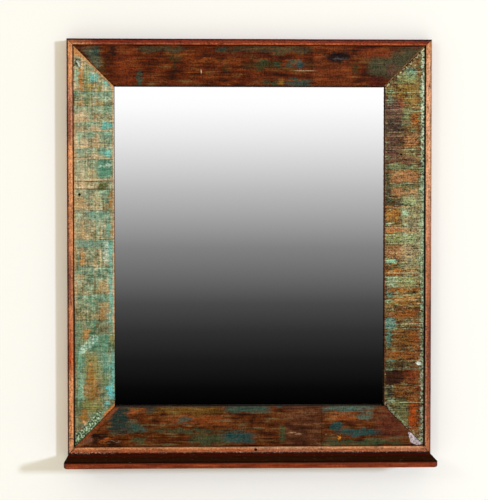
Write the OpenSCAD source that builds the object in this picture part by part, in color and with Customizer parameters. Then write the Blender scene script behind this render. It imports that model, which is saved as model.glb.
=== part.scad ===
// Wall mirror in a wide frame of reclaimed boards, with a thin shelf along its lower edge.
// Millimetres. The origin lies on the wall, midway between the two hanging holes.
// +Z is up, +X is to the right seen from the front, and the front faces -Y.

/* [Frame] */
// Width over the outer edge strips
frame_w = 690; // [600:1:900]
// Height of the frame above the top of the shelf
frame_h = 785; // [640:1:1000]
// Depth of the frame, from the wall to the front of the edge strips
frame_depth = 30; // [29:0.5:36]

/* [Edge strips] */
// Width of the top and side strips, seen from the front
strip_w = 12; // [10:0.5:16]
// Height of the bottom strip above the top of the shelf
bottom_strip_h = 13; // [10:0.5:18]
// Radius of the rounded front edges of the strips
strip_round = 2; // [0.5:0.25:4]
// How far the strips stand in front of the face boards
strip_proud = 4; // [2.5:0.5:5]
// Diameter of the old nail hole near the middle of the bottom strip
old_hole_d = 3; // [1.5:0.25:5]
// Depth of that hole
old_hole_depth = 7; // [3:0.5:12]
// Distance of that hole to the right of the frame's middle
old_hole_x = 11; // [-40:1:40]

/* [Face boards] */
// Width of the face boards, from the strip to the mirror
board_w = 77; // [72:1:100]
// Thickness of the face boards
board_t = 12; // [11:0.5:13]
// Radius of the worn front edges of the face boards
board_round = 1.5; // [0.5:0.25:3]

/* [Mirror] */
// Thickness of the mirror glass
glass_t = 4; // [3:0.5:5]
// How far the glass reaches behind the face boards
glass_lap = 8; // [5:0.5:12]
// Play between the glass and the rails, at its sides and top
glass_play = 1; // [0.5:0.25:2]

/* [Back panel] */
// Thickness of the back panel
panel_t = 4; // [3:0.5:5]
// Width of the ledge in the rails that the back panel is screwed to
ledge_w = 14; // [11:0.5:18]
// Play round the back panel in its rebate
panel_play = 0.5; // [0.25:0.25:1]

/* [Shelf] */
// Depth of the shelf, from the wall to its front edge
shelf_depth = 115; // [80:1:160]
// Thickness of the shelf board
shelf_t = 13; // [11:0.5:18]
// Depth of the shallow housing in the shelf that the frame stands in
housing = 2; // [1:0.5:4]
// Radius of the front corners of the shelf, seen from above
shelf_corner_r = 9; // [7:0.5:25]
// Radius of the rounded upper edge of the shelf
shelf_round_top = 3; // [1:0.5:4]
// Radius of the rounded lower edge of the shelf
shelf_round_low = 4; // [1:0.5:5]

/* [Hanging plates] */
// Distance between the two hanging holes
hang_spacing = 400; // [300:1:440]
// Drop from the top of the frame to the hanging holes
hang_drop = 39; // [37:0.5:41]
// Width of a hanging plate
plate_w = 18; // [15:0.5:24]
// Height of a hanging plate
plate_h = 42; // [40:0.5:46]
// Thickness of a hanging plate
plate_t = 2; // [1.5:0.5:3]
// Diameter of the keyhole's round entry
entry_d = 9; // [8:0.5:10]
// Width of the keyhole's slot
slot_w = 5; // [4:0.25:6]
// Rise from the middle of the entry to the seat at the top of the slot
slot_rise = 8; // [6:0.5:9]
// Depth of the pocket behind the plate for the head of a wall screw
pocket_depth = 8; // [5:0.5:9]
// Play of that pocket round the keyhole's entry, on the radius
pocket_play = 0.5; // [0.25:0.25:1]
// Distance from the end of the plate to its fixing screw
plate_screw_inset = 5; // [4.5:0.25:6]

/* [Fasteners] */
// Play between a screw, nail or dowel and its hole, on the radius
hole_play = 0.05; // [0.05:0.05:0.2]
// Play past the tip of a screw, nail or dowel
tip_play = 0.5; // [0.25:0.25:1]
// Shank diameter of the face board screws
board_screw_d = 4; // [3:0.5:5]
// Length of the face board screws
board_screw_len = 22; // [17:1:24]
// Distance from the outside of the frame to the last of those screws
board_screw_end = 75; // [50:1:100]
// Shank diameter of the back panel screws
panel_screw_d = 3; // [2.5:0.5:3.5]
// Length of the back panel screws under the head
panel_screw_len = 12; // [9:1:15]
// Distance from the corner of the glass to the last of those screws
panel_screw_end = 60; // [40:1:90]
// Shank diameter of the shelf screws
shelf_screw_d = 4; // [3:0.5:5]
// Length of the shelf screws
shelf_screw_len = 38; // [34:1:45]
// Distance from the end of the shelf to the last of those screws
shelf_screw_end = 45; // [30:1:80]
// Shank diameter of the hanging plate screws
plate_screw_d = 3; // [2.5:0.5:3.5]
// Length of the hanging plate screws
plate_screw_len = 12; // [8:1:13]
// Diameter of the edge strip nails
nail_d = 1.8; // [1.2:0.2:2.4]
// Length of the edge strip nails
nail_len = 32; // [24:1:36]
// Distance from the corner of the frame to the last nail in the top strip
nail_end_top = 55; // [30:1:80]
// Distance from a joint of the rails to the last nail in a side strip
nail_end_side = 40; // [30:1:80]
// Diameter of the dowels between the rails
dowel_d = 6; // [5:0.5:8]
// Length of those dowels
dowel_len = 30; // [20:1:36]
// Distance of the dowels from either edge of a rail's thick part
dowel_inset = 13; // [8:0.5:16]

/* [Hidden] */
$fn = 48;

// How far a cutting shape runs past the face that it cuts
past = 1;

// Numbers of fasteners in each row
board_screws_across = 3;
board_screws_up = 4;
panel_screws_across = 3;
panel_screws_up = 4;
shelf_screws_across = 5;
nails_across = 4;
nails_up = 5;

// Depths of the layers, from the front to the wall at 0
strip_front = -frame_depth;
board_front = strip_front + strip_proud;
board_back = board_front + board_t;
glass_back = board_back + glass_t;
panel_back = glass_back + panel_t;
rail_mid = board_back / 2;

// Outlines seen from the front, each as [left, bottom, right, top]
function inset(r, left, bottom, right, top) = [r[0] + left, r[1] + bottom, r[2] - right, r[3] - top];
function inset_all(r, d) = inset(r, d, d, d, d);
frame_top = hang_drop;
shelf_top = frame_top - frame_h;
outer = [-frame_w / 2, shelf_top - housing, frame_w / 2, frame_top];
strip_edge = inset(outer, strip_w, housing + bottom_strip_h, strip_w, strip_w);
opening = inset_all(strip_edge, board_w);
glass = inset_all(opening, -glass_lap);
glass_pocket = inset(glass, -glass_play, 0, -glass_play, -glass_play);
panel_pocket = inset_all(glass_pocket, -ledge_w);
panel = inset_all(panel_pocket, panel_play);

// Lines that the screws stand on: the middle of the ledge, and the middle of the rails' thick part
ledge_line = inset_all(glass_pocket, -ledge_w / 2);
rail_line = [for (i = [0 : 3]) (strip_edge[i] + panel_pocket[i]) / 2];

// Evenly spaced places from a to b, both ends included
function spread(a, b, count) = [for (i = [0 : count - 1]) a + (b - a) * i / (count - 1)];

// A shape drawn in x and z, made solid from its front depth to its back depth
module slab(front, back) {
    translate([0, back, 0]) rotate([90, 0, 0]) linear_extrude(back - front) children();
}

// The rectangle of an outline
module rectangle(r) {
    translate([r[0], r[1]]) square([r[2] - r[0], r[3] - r[1]]);
}

// One side of the ring between two outlines, cut at the mitres
module mitred(side, out, in) {
    if (side == "top") polygon([[out[0], out[3]], [out[2], out[3]], [in[2], in[3]], [in[0], in[3]]]);
    if (side == "bottom") polygon([[out[0], out[1]], [out[2], out[1]], [in[2], in[1]], [in[0], in[1]]]);
    if (side == "left") polygon([[out[0], out[1]], [out[0], out[3]], [in[0], in[3]], [in[0], in[1]]]);
    if (side == "right") polygon([[out[2], out[1]], [out[2], out[3]], [in[2], in[3]], [in[2], in[1]]]);
}

// The box round one side of that ring, mitres included
function side_box(side, out, in) =
    side == "top" ? [out[0], in[3], out[2], out[3]] :
    side == "bottom" ? [out[0], out[1], out[2], in[1]] :
    side == "left" ? [out[0], out[1], in[0], out[3]] :
    [in[2], out[1], out[2], out[3]];

// A board's section: width along x, front face at -depth with both front edges rounded, back face at 0
module eased_section(width, depth, r) {
    translate([r, -depth]) square([width - 2 * r, depth]);
    translate([0, r - depth]) square([width, depth - r]);
    for (x = [r, width - r]) translate([x, r - depth]) circle(r);
}

// One mitred side of a ring of wood, with eased front edges
module eased_side(side, out, in, front, back, r) {
    box = side_box(side, out, in);
    wide = box[2] - box[0];
    high = box[3] - box[1];
    intersection() {
        slab(front, back) mitred(side, out, in);
        if (side == "left" || side == "right")
            translate([box[0], back, box[1]])
                linear_extrude(high) eased_section(wide, back - front, r);
        else
            translate([box[0], back, box[3]]) rotate([0, 90, 0])
                linear_extrude(wide) eased_section(high, back - front, r);
    }
}

// Wood screws, driven along +z. A countersunk head ends at z = 0, and a pan head stands below it.
// A head is twice as wide as the shank.
function head_r(d) = d;
function sink_h(d) = 0.6 * d;
function pan_h(d) = 0.7 * d;

module cross_recess(d, floor_z) {
    for (turn = [0, 90]) rotate(turn) translate([-0.55 * d, -0.12 * d, floor_z - past])
        cube([1.1 * d, 0.24 * d, 0.35 * d + past]);
}

module shank(d, len) {
    cylinder(r = d / 2, h = len - d);
    translate([0, 0, len - d]) cylinder(r1 = d / 2, r2 = d / 8, h = d);
}

module countersunk_screw(d, len) {
    difference() {
        union() {
            cylinder(r1 = head_r(d), r2 = d / 2, h = sink_h(d));
            shank(d, len);
        }
        cross_recess(d, 0);
    }
}

module pan_screw(d, len) {
    difference() {
        union() {
            translate([0, 0, -pan_h(d)]) cylinder(r1 = 0.75 * head_r(d), r2 = head_r(d), h = pan_h(d) / 2);
            translate([0, 0, -pan_h(d) / 2]) cylinder(r = head_r(d), h = pan_h(d) / 2);
            shank(d, len);
        }
        cross_recess(d, -pan_h(d));
    }
}

module nail(d, len) {
    cylinder(r = 0.8 * d, h = d / 2);
    cylinder(r = d / 2, h = len - d);
    translate([0, 0, len - d]) cylinder(r1 = d / 2, r2 = d / 8, h = d);
}

// The holes that they stand in
module hole(d, len) {
    translate([0, 0, -past]) cylinder(r = d / 2 + hole_play, h = len + tip_play + past);
}

module sunk_hole(d, len) {
    hole(d, len);
    cylinder(r1 = head_r(d) + hole_play, r2 = d / 2 + hole_play, h = sink_h(d));
    translate([0, 0, -past]) cylinder(r = head_r(d) + hole_play, h = past);
}

module nail_hole(d, len) {
    hole(d, len);
    translate([0, 0, -past]) cylinder(r = 0.8 * d + hole_play, h = d / 2 + past);
}

// Where the fasteners stand, each place turned so that +z is the way they are driven
module at_board_screws() {
    low = outer[0] + board_screw_end;
    high = outer[2] - board_screw_end;
    for (x = spread(low, high, board_screws_across), z = [rail_line[1], rail_line[3]])
        translate([x, 0, z]) rotate([90, 0, 0]) children();
    for (z = spread(outer[1] + 2 * board_screw_end, outer[3] - 2 * board_screw_end, board_screws_up),
         x = [rail_line[0], rail_line[2]])
        translate([x, 0, z]) rotate([90, 0, 0]) children();
}

module at_panel_screws() {
    corner = inset_all(glass, panel_screw_end);
    for (x = spread(corner[0], corner[2], panel_screws_across), z = [ledge_line[1], ledge_line[3]])
        translate([x, panel_back, z]) rotate([90, 0, 0]) children();
    for (z = spread(corner[1], corner[3], panel_screws_up), x = [ledge_line[0], ledge_line[2]])
        translate([x, panel_back, z]) rotate([90, 0, 0]) children();
}

module at_shelf_screws() {
    for (x = spread(outer[0] + shelf_screw_end, outer[2] - shelf_screw_end, shelf_screws_across))
        translate([x, rail_mid, shelf_top - shelf_t]) children();
}

module at_hanging_holes() {
    for (x = [-1, 1] * hang_spacing / 2) translate([x, 0, 0]) children();
}

module at_plate_screws() {
    for (z = [-1, 1] * (plate_h / 2 - plate_screw_inset)) translate([0, 0, z]) rotate([90, 0, 0]) children();
}

module at_nails() {
    for (x = spread(outer[0] + nail_end_top, outer[2] - nail_end_top, nails_across))
        translate([x, rail_mid, outer[3]]) rotate([180, 0, 0]) children();
    for (z = spread(glass_pocket[1] + nail_end_side, glass_pocket[3] - nail_end_side, nails_up)) {
        translate([outer[0], rail_mid, z]) rotate([0, 90, 0]) children();
        translate([outer[2], rail_mid, z]) rotate([0, -90, 0]) children();
    }
}

module at_dowels() {
    places = [
        strip_edge[0] + dowel_inset, panel_pocket[0] - dowel_inset,
        panel_pocket[2] + dowel_inset, strip_edge[2] - dowel_inset
    ];
    for (x = places, z = [glass_pocket[1], glass_pocket[3]]) translate([x, rail_mid, z]) children();
}

// A reclaimed board, mitred, with the tips of the screws in its back
module face_board(side) {
    difference() {
        eased_side(side, strip_edge, opening, board_front, board_back, board_round);
        at_board_screws() hole(board_screw_d, board_screw_len);
        at_panel_screws() hole(panel_screw_d, panel_screw_len);
    }
}

module face_board_top() { color("#5c3a26") face_board("top"); }
module face_board_bottom() { color("#6b3d27") face_board("bottom"); }
module face_board_left() { color("#8f7b4e") face_board("left"); }
module face_board_right() { color("#8a6a3a") face_board("right"); }

// A smooth strip round the outside, mitred, over the full depth of the frame
module edge_strip(side) {
    eased_side(side, outer, strip_edge, strip_front, 0, strip_round);
}

module edge_strip_top() { color("#8a3d20") difference() {
    edge_strip("top");
    at_nails() nail_hole(nail_d, nail_len);
} }
module edge_strip_left() { color("#b5713f") difference() {
    edge_strip("left");
    at_nails() nail_hole(nail_d, nail_len);
} }
module edge_strip_right() { color("#a5643b") difference() {
    edge_strip("right");
    at_nails() nail_hole(nail_d, nail_len);
} }
module edge_strip_bottom() { color("#a4552c") difference() {
    edge_strip("bottom");
    at_shelf_screws() hole(shelf_screw_d, shelf_screw_len);
    translate([old_hole_x, strip_front, shelf_top + bottom_strip_h / 2]) rotate([-90, 0, 0])
        translate([0, 0, -past]) cylinder(d = old_hole_d, h = old_hole_depth + past);
} }

// The silvered glass, standing on the bottom rail
module mirror_glass() {
    color("#b9bec2") slab(board_back, glass_back) rectangle(glass);
}

// Plywood that closes the back and presses the glass against the boards
module back_panel() {
    color("#c9a574") difference() {
        slab(glass_back, panel_back) rectangle(panel);
        at_panel_screws() hole(panel_screw_d, panel_screw_len);
    }
}

// The sub-frame: the top and bottom rails run from strip to strip, and the side rails stand between them
module rail(r) {
    difference() {
        slab(board_back, 0) rectangle(r);
        slab(glass_back, past) rectangle(panel_pocket);
        at_board_screws() sunk_hole(board_screw_d, board_screw_len);
        at_panel_screws() hole(panel_screw_d, panel_screw_len);
        at_dowels() cylinder(r = dowel_d / 2 + hole_play, h = dowel_len + 2 * tip_play, center = true);
        at_nails() nail_hole(nail_d, nail_len);
        at_shelf_screws() hole(shelf_screw_d, shelf_screw_len);
    }
}

module keyhole(entry, slot, front, back) {
    slab(front, back) {
        circle(d = entry);
        translate([-slot / 2, 0]) square([slot, slot_rise]);
        translate([0, slot_rise]) circle(d = slot);
    }
}

module rail_top() {
    pocket_d = entry_d + 2 * pocket_play;
    color("#a97c50") difference() {
        rail([strip_edge[0], glass_pocket[3], strip_edge[2], strip_edge[3]]);
        at_hanging_holes() {
            slab(-plate_t, past) rectangle([-plate_w / 2, -plate_h / 2, plate_w / 2, plate_h / 2]);
            keyhole(pocket_d, pocket_d, -plate_t - pocket_depth, past);
            at_plate_screws() hole(plate_screw_d, plate_screw_len);
        }
    }
}
module rail_bottom() { color("#a97c50") rail([strip_edge[0], strip_edge[1], strip_edge[2], glass_pocket[1]]); }
module rail_left() { color("#a0744a") rail([strip_edge[0], glass_pocket[1], glass_pocket[0], glass_pocket[3]]); }
module rail_right() { color("#a0744a") rail([glass_pocket[2], glass_pocket[1], strip_edge[2], glass_pocket[3]]); }

// A steel plate let in flush with the back of the top rail, with a keyhole for a wall screw
module hanging_plate(x) {
    color("#b8bcc0") translate([x, 0, 0]) difference() {
        slab(-plate_t, 0) rectangle([-plate_w / 2, -plate_h / 2, plate_w / 2, plate_h / 2]);
        keyhole(entry_d, slot_w, -plate_t - past, past);
        at_plate_screws() sunk_hole(plate_screw_d, plate_screw_len);
    }
}
module hanging_plate_left() { hanging_plate(-hang_spacing / 2); }
module hanging_plate_right() { hanging_plate(hang_spacing / 2); }

// The edge of the shelf in section: reach along x, top at 0, with its two outer edges rounded
module shelf_edge(reach) {
    difference() {
        translate([0, -shelf_t]) square([reach, shelf_t]);
        translate([reach - shelf_round_top, -shelf_round_top]) difference() {
            square(shelf_round_top + past);
            circle(shelf_round_top);
        }
        translate([reach - shelf_round_low, shelf_round_low - shelf_t]) mirror([0, 1]) difference() {
            square(shelf_round_low + past);
            circle(shelf_round_low);
        }
    }
}

module shelf_blank() {
    side = frame_w / 2 - shelf_corner_r;
    front = shelf_depth - shelf_corner_r;
    translate([-side, -front, -shelf_t]) cube([2 * side, front, shelf_t]);
    translate([side, -front, 0]) rotate([90, 0, -90]) linear_extrude(2 * side) shelf_edge(shelf_corner_r);
    for (hand = [0, 1]) mirror([hand, 0, 0]) translate([side, 0, 0]) {
        rotate([90, 0, 0]) linear_extrude(front) shelf_edge(shelf_corner_r);
        translate([0, -front, 0]) rotate(-90) rotate_extrude(angle = 90) shelf_edge(shelf_corner_r);
    }
}

// A thin board under the frame, with a shallow housing along its back that the frame stands in
module shelf_board() {
    color("#6e2f1c") difference() {
        translate([0, 0, shelf_top]) shelf_blank();
        slab(strip_front, past) rectangle([outer[0] - past, outer[1], outer[2] + past, shelf_top + past]);
        at_shelf_screws() sunk_hole(shelf_screw_d, shelf_screw_len);
    }
}

module face_board_screws() {
    color("#c9b26a") at_board_screws() countersunk_screw(board_screw_d, board_screw_len);
}
module back_panel_screws() {
    color("#c2c4c6") at_panel_screws() pan_screw(panel_screw_d, panel_screw_len);
}
module shelf_screws() {
    color("#c9b26a") at_shelf_screws() countersunk_screw(shelf_screw_d, shelf_screw_len);
}
module hanging_plate_screws() {
    color("#c2c4c6") at_hanging_holes() at_plate_screws() countersunk_screw(plate_screw_d, plate_screw_len);
}
module edge_strip_nails() {
    color("#5b5048") at_nails() nail(nail_d, nail_len);
}
module rail_dowels() {
    color("#d8b98a") at_dowels() cylinder(d = dowel_d, h = dowel_len, center = true);
}

face_board_top();
face_board_bottom();
face_board_left();
face_board_right();
edge_strip_top();
edge_strip_bottom();
edge_strip_left();
edge_strip_right();
mirror_glass();
back_panel();
shelf_board();
rail_top();
rail_bottom();
rail_left();
rail_right();
hanging_plate_left();
hanging_plate_right();
face_board_screws();
back_panel_screws();
shelf_screws();
hanging_plate_screws();
edge_strip_nails();
rail_dowels();
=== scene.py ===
"""A wall mirror in a mitred frame of old painted boards, with a thin shelf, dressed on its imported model."""
import math

import bmesh
import bpy
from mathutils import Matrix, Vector


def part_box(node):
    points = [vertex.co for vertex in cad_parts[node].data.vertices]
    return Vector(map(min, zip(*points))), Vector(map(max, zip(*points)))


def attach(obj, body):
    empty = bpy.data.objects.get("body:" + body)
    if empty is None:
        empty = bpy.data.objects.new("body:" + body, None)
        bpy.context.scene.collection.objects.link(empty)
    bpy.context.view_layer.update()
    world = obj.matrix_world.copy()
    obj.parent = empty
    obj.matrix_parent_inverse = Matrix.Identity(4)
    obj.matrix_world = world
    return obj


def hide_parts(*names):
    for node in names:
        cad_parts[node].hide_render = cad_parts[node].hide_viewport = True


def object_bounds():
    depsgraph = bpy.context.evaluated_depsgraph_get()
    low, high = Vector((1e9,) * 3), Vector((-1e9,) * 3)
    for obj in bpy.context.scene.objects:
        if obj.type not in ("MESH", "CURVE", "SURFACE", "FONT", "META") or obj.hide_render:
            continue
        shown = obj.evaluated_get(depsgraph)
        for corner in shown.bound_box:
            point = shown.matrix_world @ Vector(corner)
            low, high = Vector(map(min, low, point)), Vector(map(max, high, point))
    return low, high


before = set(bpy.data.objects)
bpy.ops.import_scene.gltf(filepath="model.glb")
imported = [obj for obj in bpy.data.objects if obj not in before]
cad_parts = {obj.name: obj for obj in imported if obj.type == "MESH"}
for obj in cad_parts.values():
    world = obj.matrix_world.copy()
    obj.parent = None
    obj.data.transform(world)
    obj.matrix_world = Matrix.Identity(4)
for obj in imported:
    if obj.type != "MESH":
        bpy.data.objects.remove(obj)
cad_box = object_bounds()


# ---- The sub-frame ----
# Four planed softwood rails, butted and doweled at the corners, with a rebate for the glass and the back
# panel. Only their backs show, pale and unfinished, with growth rings, faint blotches and a few pores.

mm_per_m = 1000


class Field:
    """A value that varies over a surface: one output of a node tree, written as plain arithmetic."""

    def __init__(self, tree, socket):
        self.tree = tree
        self.socket = socket

    def maths(self, operation, *others):
        inputs = dict(enumerate((self, *others)))
        return node_of(self.tree, "ShaderNodeMath", inputs, operation=operation)

    def vector(self, operation, *others, out=0):
        inputs = dict(enumerate((self, *others)))
        return node_of(self.tree, "ShaderNodeVectorMath", inputs, out, operation=operation)

    def length(self):
        return self.vector("LENGTH", out=1)

    def __add__(self, other):
        return self.maths("ADD", other)

    def __sub__(self, other):
        return self.maths("SUBTRACT", other)

    def __mul__(self, other):
        return self.maths("MULTIPLY", other)

    def smooth(self, low, high):
        """0 at low, 1 at high, and a soft step between them."""
        inputs = {0: self, 1: low, 2: high}
        return node_of(self.tree, "ShaderNodeMapRange", inputs, interpolation_type="SMOOTHSTEP")

    def split(self):
        """The x, y and z of a vector."""
        x = node_of(self.tree, "ShaderNodeSeparateXYZ", {0: self})
        return [Field(self.tree, out) for out in x.socket.node.outputs]


def node_of(tree, kind, inputs, out=0, **settings):
    """An output of a new node, its settings set first and its inputs then fed, by name or by number."""
    node = tree.nodes.new(kind)
    for name, value in settings.items():
        setattr(node, name, value)
    for slot, value in inputs.items():
        feed(node.inputs[slot], value)
    return Field(tree, node.outputs[out])


def feed(slot, value):
    """Joins a node's input to a field, or sets it to a plain value."""
    if isinstance(value, Field):
        value.tree.links.new(value.socket, slot)
    else:
        slot.default_value = value


def noise(point, size, detail, seed, distort=0.0, out=0):
    """Cloudy noise from 0 to 1, whose clouds are about size millimetres long: one number, or (x, y, z)."""
    sizes = size if isinstance(size, tuple) else (size, size, size)
    drift = (13.7 * seed, 5.3 * seed, 8.9 * seed)
    place = point.vector("MULTIPLY_ADD", tuple(1 / s for s in sizes), drift)
    inputs = {"Vector": place, "Scale": 1.0, "Detail": detail, "Distortion": distort}
    return node_of(point.tree, "ShaderNodeTexNoise", inputs, out)


def charted(colour):
    """A colour chart's (red, green, blue), 0 to 255, as a node takes it. Any other colour is left alone."""
    if isinstance(colour, Field) or len(colour) != 3:
        return colour
    parts = [part / 255 for part in colour]
    return (*[c / 12.92 if c <= 0.04045 else ((c + 0.055) / 1.055) ** 2.4 for c in parts], 1.0)


def mix(cover, under, over):
    """The colour over laid on the colour under, as far as cover says."""
    inputs = {0: cover, 6: charted(under), 7: charted(over)}
    return node_of(cover.tree, "ShaderNodeMix", inputs, 2, data_type="RGBA")


def ramp(value, stops):
    """What a value from 0 to 1 picks from a row of (place, colour as a node takes it) stops."""
    node = value.tree.nodes.new("ShaderNodeValToRGB")
    elements = node.color_ramp.elements
    first, *between, last = stops
    elements[0].position, elements[0].color = first
    elements[1].position, elements[1].color = last
    for place, colour in between:
        elements.new(place).color = colour
    feed(node.inputs[0], value)
    return Field(value.tree, node.outputs[0])


def tones(value, *stops):
    """The colour that a value from 0 to 1 picks from a row of (place, red, green, blue) stops."""
    return ramp(value, [(place, charted(colour)) for place, *colour in stops])


def new_finish(name):
    """An empty material: itself, its shader, and the piece's own coordinates in millimetres."""
    material = bpy.data.materials.new(name)
    material.use_nodes = True
    tree = material.node_tree
    tree.nodes.clear()
    shader = tree.nodes.new("ShaderNodeBsdfPrincipled")
    output = tree.nodes.new("ShaderNodeOutputMaterial")
    tree.links.new(shader.outputs[0], output.inputs[0])
    place = node_of(tree, "ShaderNodeTexCoord", {}, "Object")
    return material, shader, place.vector("MULTIPLY", (mm_per_m, mm_per_m, mm_per_m))


def coat(shader, colour, rough, relief=None, relief_mm=0.0, **others):
    """Feeds a shader its colour, roughness, fine relief from a height of 0 to 1, and others by name."""
    feed(shader.inputs["Base Color"], charted(colour))
    feed(shader.inputs["Roughness"], rough)
    for name, value in others.items():
        feed(shader.inputs[name.replace("_", " ")], value)
    if relief:
        inputs = {"Distance": relief_mm / mm_per_m, "Height": relief}
        feed(shader.inputs["Normal"], node_of(relief.tree, "ShaderNodeBump", inputs))


def along_grain(along, length, width):
    """Cloud sizes for noise that is stretched along the grain, which runs along x or z."""
    return (length, width, width) if along == "x" else (width, width, length)


def bare_wood(name, along, dark, light, seed):
    """Unfinished planed wood: wavy growth rings, fibres, blotches and pores."""
    material, shader, point = new_finish(name)
    rings = noise(point, along_grain(along, 210, 14), detail=2, seed=seed)
    ring_lines = (rings * 26).maths("SINE") * 0.5 + 0.5
    fibres = noise(point, along_grain(along, 30, 0.7), detail=4, seed=seed + 1)
    blotches = noise(point, 50, detail=3, seed=seed + 2)
    pores = noise(point, along_grain(along, 9, 0.35), detail=2, seed=seed + 3).smooth(0.62, 0.72)
    figure = ring_lines * 0.25 + fibres * 0.5 + blotches * 0.4
    colour = mix(pores * 0.45, tones(figure, (0.25, *dark), (0.85, *light)), dark)
    relief = fibres * 0.6 + ring_lines * 0.2 - pores * 0.4
    coat(shader, colour, fibres * 0.3 + 0.55, relief, relief_mm=0.12)
    return material


def dress(node_name, material):
    """Gives a CAD node its finish."""
    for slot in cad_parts[node_name].material_slots:
        slot.material = material


rail_wood_across = bare_wood("rail_wood_across", "x", (150, 105, 62), (214, 172, 118), seed=1)
rail_wood_up = bare_wood("rail_wood_up", "z", (145, 100, 60), (208, 165, 112), seed=5)
for side in ("top", "bottom"):
    dress("rail_" + side, rail_wood_across)
for side in ("left", "right"):
    dress("rail_" + side, rail_wood_up)
dress("rail_dowels", bare_wood("dowel_wood", "z", (196, 160, 112), (228, 198, 150), seed=9))


# ---- The mirror ----
# A sheet of 4 mm float glass, silvered on the back. It stands on the bottom rail, behind the boards.

silvering, shader, point = new_finish("silvering")
wiped = noise(point, (120, 120, 40), detail=3, seed=21)
dust = noise(point, 1.6, detail=2, seed=22).smooth(0.74, 0.8)
silver = mix(dust * 0.06, (251, 251, 251), (205, 207, 205))
coat(shader, silver, wiped * 0.012 + dust * 0.03, Metallic=1.0)
dress("mirror_glass", silvering)


# ---- The back panel ----
# Thin plywood, cut to the rebate and screwed to its ledge. Its face veneer is rotary cut, so the figure
# is wide and wild, with a few pin knots and grey handling marks.


def layered(colour, *layers):
    """Lays each (cover, colour) on the one before it, from a first colour up."""
    for cover, over in layers:
        colour = mix(cover, colour, over)
    return colour


plywood, shader, point = new_finish("plywood")
wild = noise(point, (26, 26, 190), detail=3, seed=31, distort=0.8)
veneer_lines = (wild * 34).maths("SINE") * 0.5 + 0.5
fibres = noise(point, (0.8, 0.8, 34), detail=4, seed=32)
stains = noise(point, 90, detail=4, seed=33)
pin_knots = noise(point, (7, 7, 11), detail=0, seed=34).smooth(0.83, 0.87)
figure = veneer_lines * 0.28 + fibres * 0.45 + stains * 0.35
colour = layered(tones(figure, (0.25, 176, 134, 88), (0.55, 204, 165, 116), (0.85, 222, 187, 140)),
                 (pin_knots * 0.8, (98, 62, 36)),
                 (stains.smooth(0.6, 0.8) * 0.25, (150, 132, 108)))
coat(shader, colour, fibres * 0.25 + 0.55, fibres * 0.5 + veneer_lines * 0.3, relief_mm=0.1)
dress("back_panel", plywood)


# ---- The face boards ----
# Four boards sawn from old painted timber, mitred at the corners and screwed on from behind. Each keeps
# what its former life left on it: saw marks, bare patches, layers of old paint, knots and nail holes.

SIDES = ("top", "bottom", "left", "right")


def outline(kind):
    """Left, bottom, right and top of the four pieces of a kind, seen from the front, in metres."""
    boxes = [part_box(kind + side) for side in SIDES]
    return (min(low.x for low, high in boxes), min(low.z for low, high in boxes),
            max(high.x for low, high in boxes), max(high.z for low, high in boxes))


outer_line = outline("edge_strip_")
strip_line = outline("face_board_")
opening = (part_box("face_board_left")[1].x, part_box("face_board_bottom")[1].z,
           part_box("face_board_right")[0].x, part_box("face_board_top")[0].z)
board_front, board_back = (corner.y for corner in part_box("face_board_top"))
board_ease = 0.0015
board_pitch = 0.0011
board_width = (strip_line[3] - opening[3]) * mm_per_m
boards_wide = (strip_line[2] - strip_line[0]) * mm_per_m
boards_tall = (strip_line[3] - strip_line[1]) * mm_per_m
frame_left_pixel, frame_right_pixel, frame_top_pixel = 66.2, 431.6, 38.5
mm_per_pixel = (outer_line[2] - outer_line[0]) * mm_per_m / (frame_right_pixel - frame_left_pixel)
square_to_mitre = math.sqrt(0.5)


def eased_section(width, front, back, ease, pitch):
    """A board's section as (across, depth) points, from its back outer edge round to its back inner edge."""
    arc_steps = 5
    side_steps = max(2, round((back - front - ease) / pitch))
    face_steps = round((width - 2 * ease) / pitch)
    side = [back + (front + ease - back) * i / side_steps for i in range(side_steps)]
    arc = [math.pi / 2 * i / arc_steps for i in range(arc_steps + 1)]
    points = [(0, y) for y in side]
    points += [(ease - ease * math.cos(a), front + ease - ease * math.sin(a)) for a in arc]
    points += [(ease + (width - 2 * ease) * i / face_steps, front) for i in range(1, face_steps)]
    points += [(width - ease + ease * math.sin(a), front + ease - ease * math.cos(a)) for a in arc]
    points += [(width, y) for y in reversed(side)]
    return points


def mitred_blank(name, side, outer, inner, front, back, ease, pitch):
    """A closed mesh for one side of a mitred ring between two outlines, with a fine grid over its front."""
    left, bottom, right, top = range(4)
    own = ("left", "bottom", "right", "top").index(side)
    ends = ((left, own), (right, own)) if own in (bottom, top) else ((own, bottom), (own, top))
    outer_ends = [Vector((outer[x], outer[z])) for x, z in ends]
    inner_ends = [Vector((inner[x], inner[z])) for x, z in ends]
    width = abs(inner[own] - outer[own])
    section = eased_section(width, front, back, ease, pitch)
    stations = round((outer_ends[1] - outer_ends[0]).length / pitch)
    build = bmesh.new()
    rings = []
    for i in range(stations + 1):
        ring = []
        for across, y in section:
            start, end = (out.lerp(into, across / width) for out, into in zip(outer_ends, inner_ends))
            x, z = start.lerp(end, i / stations)
            ring.append(build.verts.new((x, y, z)))
        rings.append(ring)
    for near, far in zip(rings, rings[1:]):
        for k in range(len(section)):
            build.faces.new((near[k - 1], near[k], far[k], far[k - 1]))
    build.faces.new(rings[0])
    build.faces.new(rings[-1])
    return finished(name, build)


def settle(build, mesh):
    """Merges a bmesh's doubles, turns its faces outwards, marks its sharp edges, and makes it the mesh."""
    sharp = math.radians(35)
    bmesh.ops.remove_doubles(build, verts=build.verts, dist=1e-6)
    bmesh.ops.recalc_face_normals(build, faces=build.faces)
    for face in build.faces:
        face.smooth = True
    for edge in build.edges:
        edge.smooth = len(edge.link_faces) == 2 and edge.calc_face_angle(0) < sharp
    build.to_mesh(mesh)
    build.free()


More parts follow.
